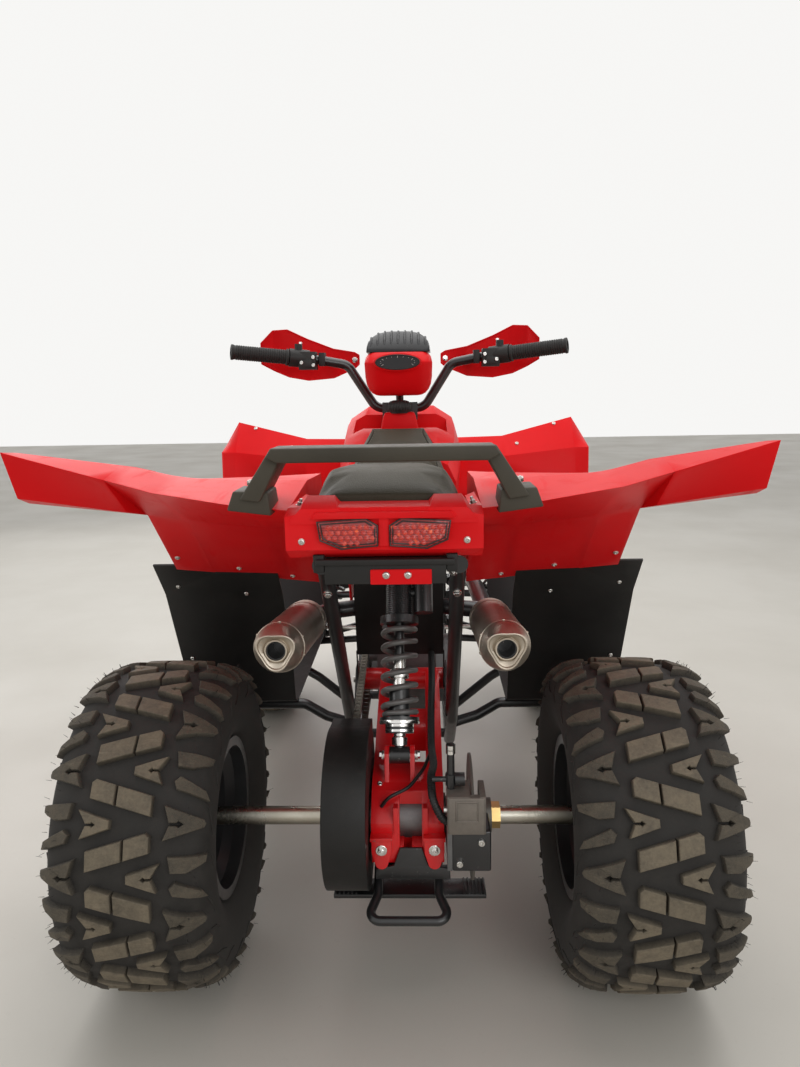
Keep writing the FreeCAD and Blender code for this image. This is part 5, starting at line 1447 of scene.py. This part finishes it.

# dial: dark glass with a pale scale on it, tilted like the pod
dialSpec = {"marks": 13, "scale": (0.038, 0.0118), "bezel": (0.0485, 0.0155)}  # half widths and heights
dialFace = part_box("dial")[0].y
dialMiddle = middleOf("dial")
marks = []
for k in range(dialSpec["marks"]):
    angle = math.pi * (1.16 - 0.11 * k)
    wide, high = dialSpec["scale"]
    x, z = dialMiddle.x + wide * math.cos(angle), dialMiddle.z + high * math.sin(angle)
    marks.append((Vector((x, dialFace, z)), (math.pi / 2, -angle, 0), 1.0 if k % 3 == 0 else 0.6))
corners = [(-2.2, -0.4), (2.2, -0.4), (2.2, 0.4), (-2.2, 0.4)]
bars = [Vector((x, y, z)) / 1000 for z in (-0.3, 0.5) for x, y in corners]
mark = meshObject("mark", bars, ringFaces(4), smooth=False)
hand(scattered("dialMarks", mark, marks, finishes["paleMark"]), "steering", "clear_lens")
wide, high = dialSpec["bezel"]
bezel = []
for angle in (math.pi * k / 24 for k in range(48)):
    x, z = dialMiddle.x + wide * math.cos(angle), dialMiddle.z + high * math.sin(angle)
    bezel.append(Vector((x, dialFace - 0.0002, z)))
hand(wire("dialBezel", [bezel], 1.5, finishes["blackPlastic"], 8, closed=True), "steering", "black_plastic")

# raised ribs over the visor, from its rear edge to its front edge
bpy.context.view_layer.update()
ribSpec = {"count": 9, "points": 15, "sideGap": 0.008, "endGap": 0.002, "sink": 0.0035}  # metres
low, high = (Vector(corner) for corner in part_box("visor"))
ribs = []
for k in range(ribSpec["count"]):
    gap = ribSpec["sideGap"]
    x = low.x + gap + (high.x - low.x - 2 * gap) * k / (ribSpec["count"] - 1)
    path = []
    for step in range(ribSpec["points"]):
        gap = ribSpec["endGap"]
        y = low.y + gap + (high.y - low.y - 2 * gap) * step / (ribSpec["points"] - 1)
        met, place, _, _ = scenePiece["podVisor"].ray_cast(Vector((x, y, high.z + 0.1)), Vector((0, 0, -1)))
        if met:
            path.append(place)
    if len(path) > 2:
        # its ends run into the hood
        for end in (0, -1):
            path[end] = path[end] - Vector((0, 0, ribSpec["sink"]))
        ribs.append(path)
hand(wire("visorRibs", ribs, 3.2, finishes["glossPlastic"], 8), "steering", "black_plastic")
print("lamps, dial and visor ribs", len(domes), len(ribs))

# saddle: its form is blown up a little from inside, then kept off what it lies between
padding = {"voxel": 0.007, "inset": 0.0022, "pressure": 4.0, "frames": 20, "rise": 0.011, "side": 0.0017}


def swell(piece, spec):
    voxels = piece.modifiers.new("voxels", "REMESH")
    voxels.mode = "VOXEL"
    voxels.voxel_size = spec["voxel"]
    settled(piece)
    mesh = piece.data
    starts = [vert.co - vert.normal * spec["inset"] for vert in mesh.vertices]
    normals = [vert.normal.copy() for vert in mesh.vertices]
    for vert, start in zip(mesh.vertices, starts):
        vert.co = start
    mesh.update()
    cloth = piece.modifiers.new("cloth", "CLOTH")
    settings = cloth.settings
    settings.quality = 4
    settings.mass = 0.3
    settings.tension_stiffness = settings.compression_stiffness = 25
    settings.shear_stiffness = 10
    settings.bending_stiffness = 4
    settings.use_pressure = True
    settings.uniform_pressure_force = spec["pressure"]
    settings.effector_weights.gravity = 0
    cloth.collision_settings.use_collision = False
    for number in range(1, spec["frames"] + 1):
        bpy.context.scene.frame_set(number)
    evaluated = piece.evaluated_get(bpy.context.evaluated_depsgraph_get())
    blown = evaluated.to_mesh()
    ends = [vert.co.copy() for vert in blown.vertices]
    evaluated.to_mesh_clear()
    piece.modifiers.clear()
    bpy.context.scene.frame_set(1)
    for vert, start, end, normal in zip(mesh.vertices, starts, ends, normals):
        moved = end - start
        # only the top may rise above the solid it replaces
        free = max(0, min(1, (normal.z - 0.3) / 0.4))
        most = spec["side"] + (spec["rise"] - spec["side"]) * free
        outwards = moved.dot(normal)
        if outwards > most:
            moved -= normal * (outwards - most)
        if moved.length > spec["rise"] + 0.004:
            moved *= (spec["rise"] + 0.004) / moved.length
        vert.co = start + moved
    mesh.update()
    smooth = piece.modifiers.new("finer", "SUBSURF")
    smooth.levels = smooth.render_levels = 1
    settled(piece)
    piece.data.shade_smooth()
    return piece


saddle = swell(cleanCopy("paddedSeat", "seat"), padding)
hand(painted(saddle, "seatCover"), "chassis", "seat_cover", "seat")
bpy.context.view_layer.update()

# seam between the saddle's top and its sides: y, half width, height of the line that is laid on the cover
seamLine = [(-104, 80, 905), (-62, 93, 914), (-10, 96, 900), (80, 102, 872), (169, 105, 852), (250, 100, 856),
            (314, 93, 868), (380, 84, 916), (436, 75, 962), (500, 73, 952), (540, 71, 940)]
# cross seams: y and half width at the top
crossSeams = [(0, 84), (314, 80)]
stitching = {"gap": 0.0062, "beside": 0.0042}  # metres from stitch to stitch, and to either side of the seam


def laid(piece, start, toward, lift=0.0):
    met, place, normal, _ = piece.ray_cast(toFrame(*start), Vector(toward).normalized())
    return (place + normal * lift, normal) if met else None


seams, stitches = [], []
for side in (-1, 1):
    line = splined([Vector((x, y, z)) for y, x, z in seamLine], 22)
    path = []
    for point in line:
        start = (point.x * side + 60 * side, point.y, point.z + 60)
        found = laid(saddle, start, (-side, 0, -1))
        if found:
            path.append(found)
    seams.append([place + normal * 0.0002 for place, normal in path])
    run = 0.0
    for (a, first), (b, _) in zip(path, path[1:]):
        run += (b - a).length
        if run > stitching["gap"]:
            run = 0.0
            along = (b - a).normalized()
            across = first.cross(along).normalized()
            for beside in (-stitching["beside"], stitching["beside"]):
                _, spot, out, _ = saddle.closest_point_on_mesh(a + across * beside)
                turn = Matrix((along, out.cross(along).normalized(), out)).transposed().to_euler()
                stitches.append((spot + out * 0.0003, tuple(turn), 1.0))
for y, half in crossSeams:
    path = [laid(saddle, (-half + 2 * half * k / 40, y, 1100), (0, 0, -1)) for k in range(41)]
    seams.append([found[0] for found in path if found])
hand(wire("seatPiping", seams, 1.5, finishes["seatPiping"], 8), "chassis", "seat_cover")
thread = ringedShape("thread", [(-0.4, 0.4), (0.35, 0.42), (0.5, 0.25)], 8)
for vert in thread.data.vertices:
    vert.co.x *= 4.6
hand(scattered("seatStitches", thread, stitches, finishes["thread"]), "chassis", "seat_cover")
print("saddle", len(saddle.data.polygons), "seams", len(seams), "stitches", len(stitches))


def roundedPath(points, cut, steps=6):
    # a path whose corners are rounded off
    points = [Vector(point) for point in points]
    path = [points[0]]
    for before, here, after in zip(points, points[1:], points[2:]):
        first = here + (before - here).normalized() * min(cut, (before - here).length * 0.45)
        last = here + (after - here).normalized() * min(cut, (after - here).length * 0.45)
        for t in (k / steps for k in range(steps + 1)):
            path.append(first * (1 - t) ** 2 + here * 2 * t * (1 - t) + last * t**2)
    return path + [points[-1]]


# brake hose and cable, corner by corner
hoseLine = [(87, -112, 330), (77, -112, 336), (62, -106, 366), (60, -60, 386), (66, -10, 380.2),
            (62, 60, 382.2), (63, 150, 408.2), (66, 230, 448.2), (66, 295.5, 484)]
cableLine = [(-26, -46, 321), (-14, -52, 341), (22, -40, 353), (48, -6, 371), (62, 44, 381)]
hosePath = roundedPath(hoseLine, 18, 10)
lines = []
for name, path, thick, sides in (("hose", hosePath, 6.1, 14), ("cable", roundedPath(cableLine, 12), 3.1, 10)):
    lines.append(wire(name, [[toFrame(*point) for point in path]], thick, finishes["hoseRubber"], sides))
ribGap = 4.4
ribSpots = []
run = 0.0
for a, b in zip(hosePath, hosePath[1:]):
    length = (b - a).length
    step = ribGap - run
    while step < length:
        place = a.lerp(b, step / length)
        if place.z > 325:
            ribSpots.append((toFrame(*place), facing(b - a), 1.0))
        step += ribGap
    run = (length - (step - ribGap)) % ribGap
ribRings = [(-1.2, 6.0), (-0.7, 7.0), (0.7, 7.0), (1.2, 6.0)]
ribShape = ringedShape("rib", ribRings, 14)
lines.append(scattered("ribs", ribShape, ribSpots, finishes["hoseRubber"]))
hand(joined("brakeLines", lines), "chassis", "hose_rubber")

# filler neck and its knurled cap on the tank cover, behind the bar clamp
cap = {
    "y": 565, "radius": 28, "top": 1008, "neck": (551, 586, 980), "grips": 24,
    # rings of height, share of the radius, knurled; the foot's heights in millimetres, the others as shares
    "foot": [(-2, 0.80, 0), (3, 0.84, 0), (7, 0.97, 1)],
    "rings": [(0.5, 1.0, 1), (0.74, 0.93, 1), (0.9, 0.78, 0), (0.98, 0.5, 0), (1, 0.2, 0)],
}
tankTop, _ = onSurface(scenePiece["tankCover"], (0, cap["y"], 1100), (0, 0, -1))
near, far, neckTop = cap["neck"]
neckFoot = tankTop.z * 1000 - 6
sections = []
for z, grow, lean in ((neckFoot, 46, 0), (neckTop - 10, 38, 0), (neckTop, 34, -2)):
    sections.append([(-grow, near - lean, z), (grow, near - lean, z), (grow, far, z), (-grow, far, z)])
dressed("fillerNeck", [loftForm(sections, "redPlastic")], 0.004, "chassis", "red_plastic")
base = Vector((tankTop.x, tankTop.y, (neckTop - 0.5) / 1000))
tall = cap["top"] - neckTop + 0.5
count = cap["grips"] * 4
rings = []
for height, radius, knurled in cap["foot"] + [(share * tall, *rest) for share, *rest in cap["rings"]]:
    ring = []
    for k in range(count):
        angle = 2 * math.pi * k / count
        reach = cap["radius"] * (radius - 0.055 * knurled * (k % 4 in (0, 1)))
        ring.append(base + Vector((reach * math.cos(angle), reach * math.sin(angle), height)) / 1000)
    rings.append(ring)
hand(lofted("fillerCap", rings, finishes["blackPlastic"], 32), "chassis", "black_plastic")
print("hose and filler cap")
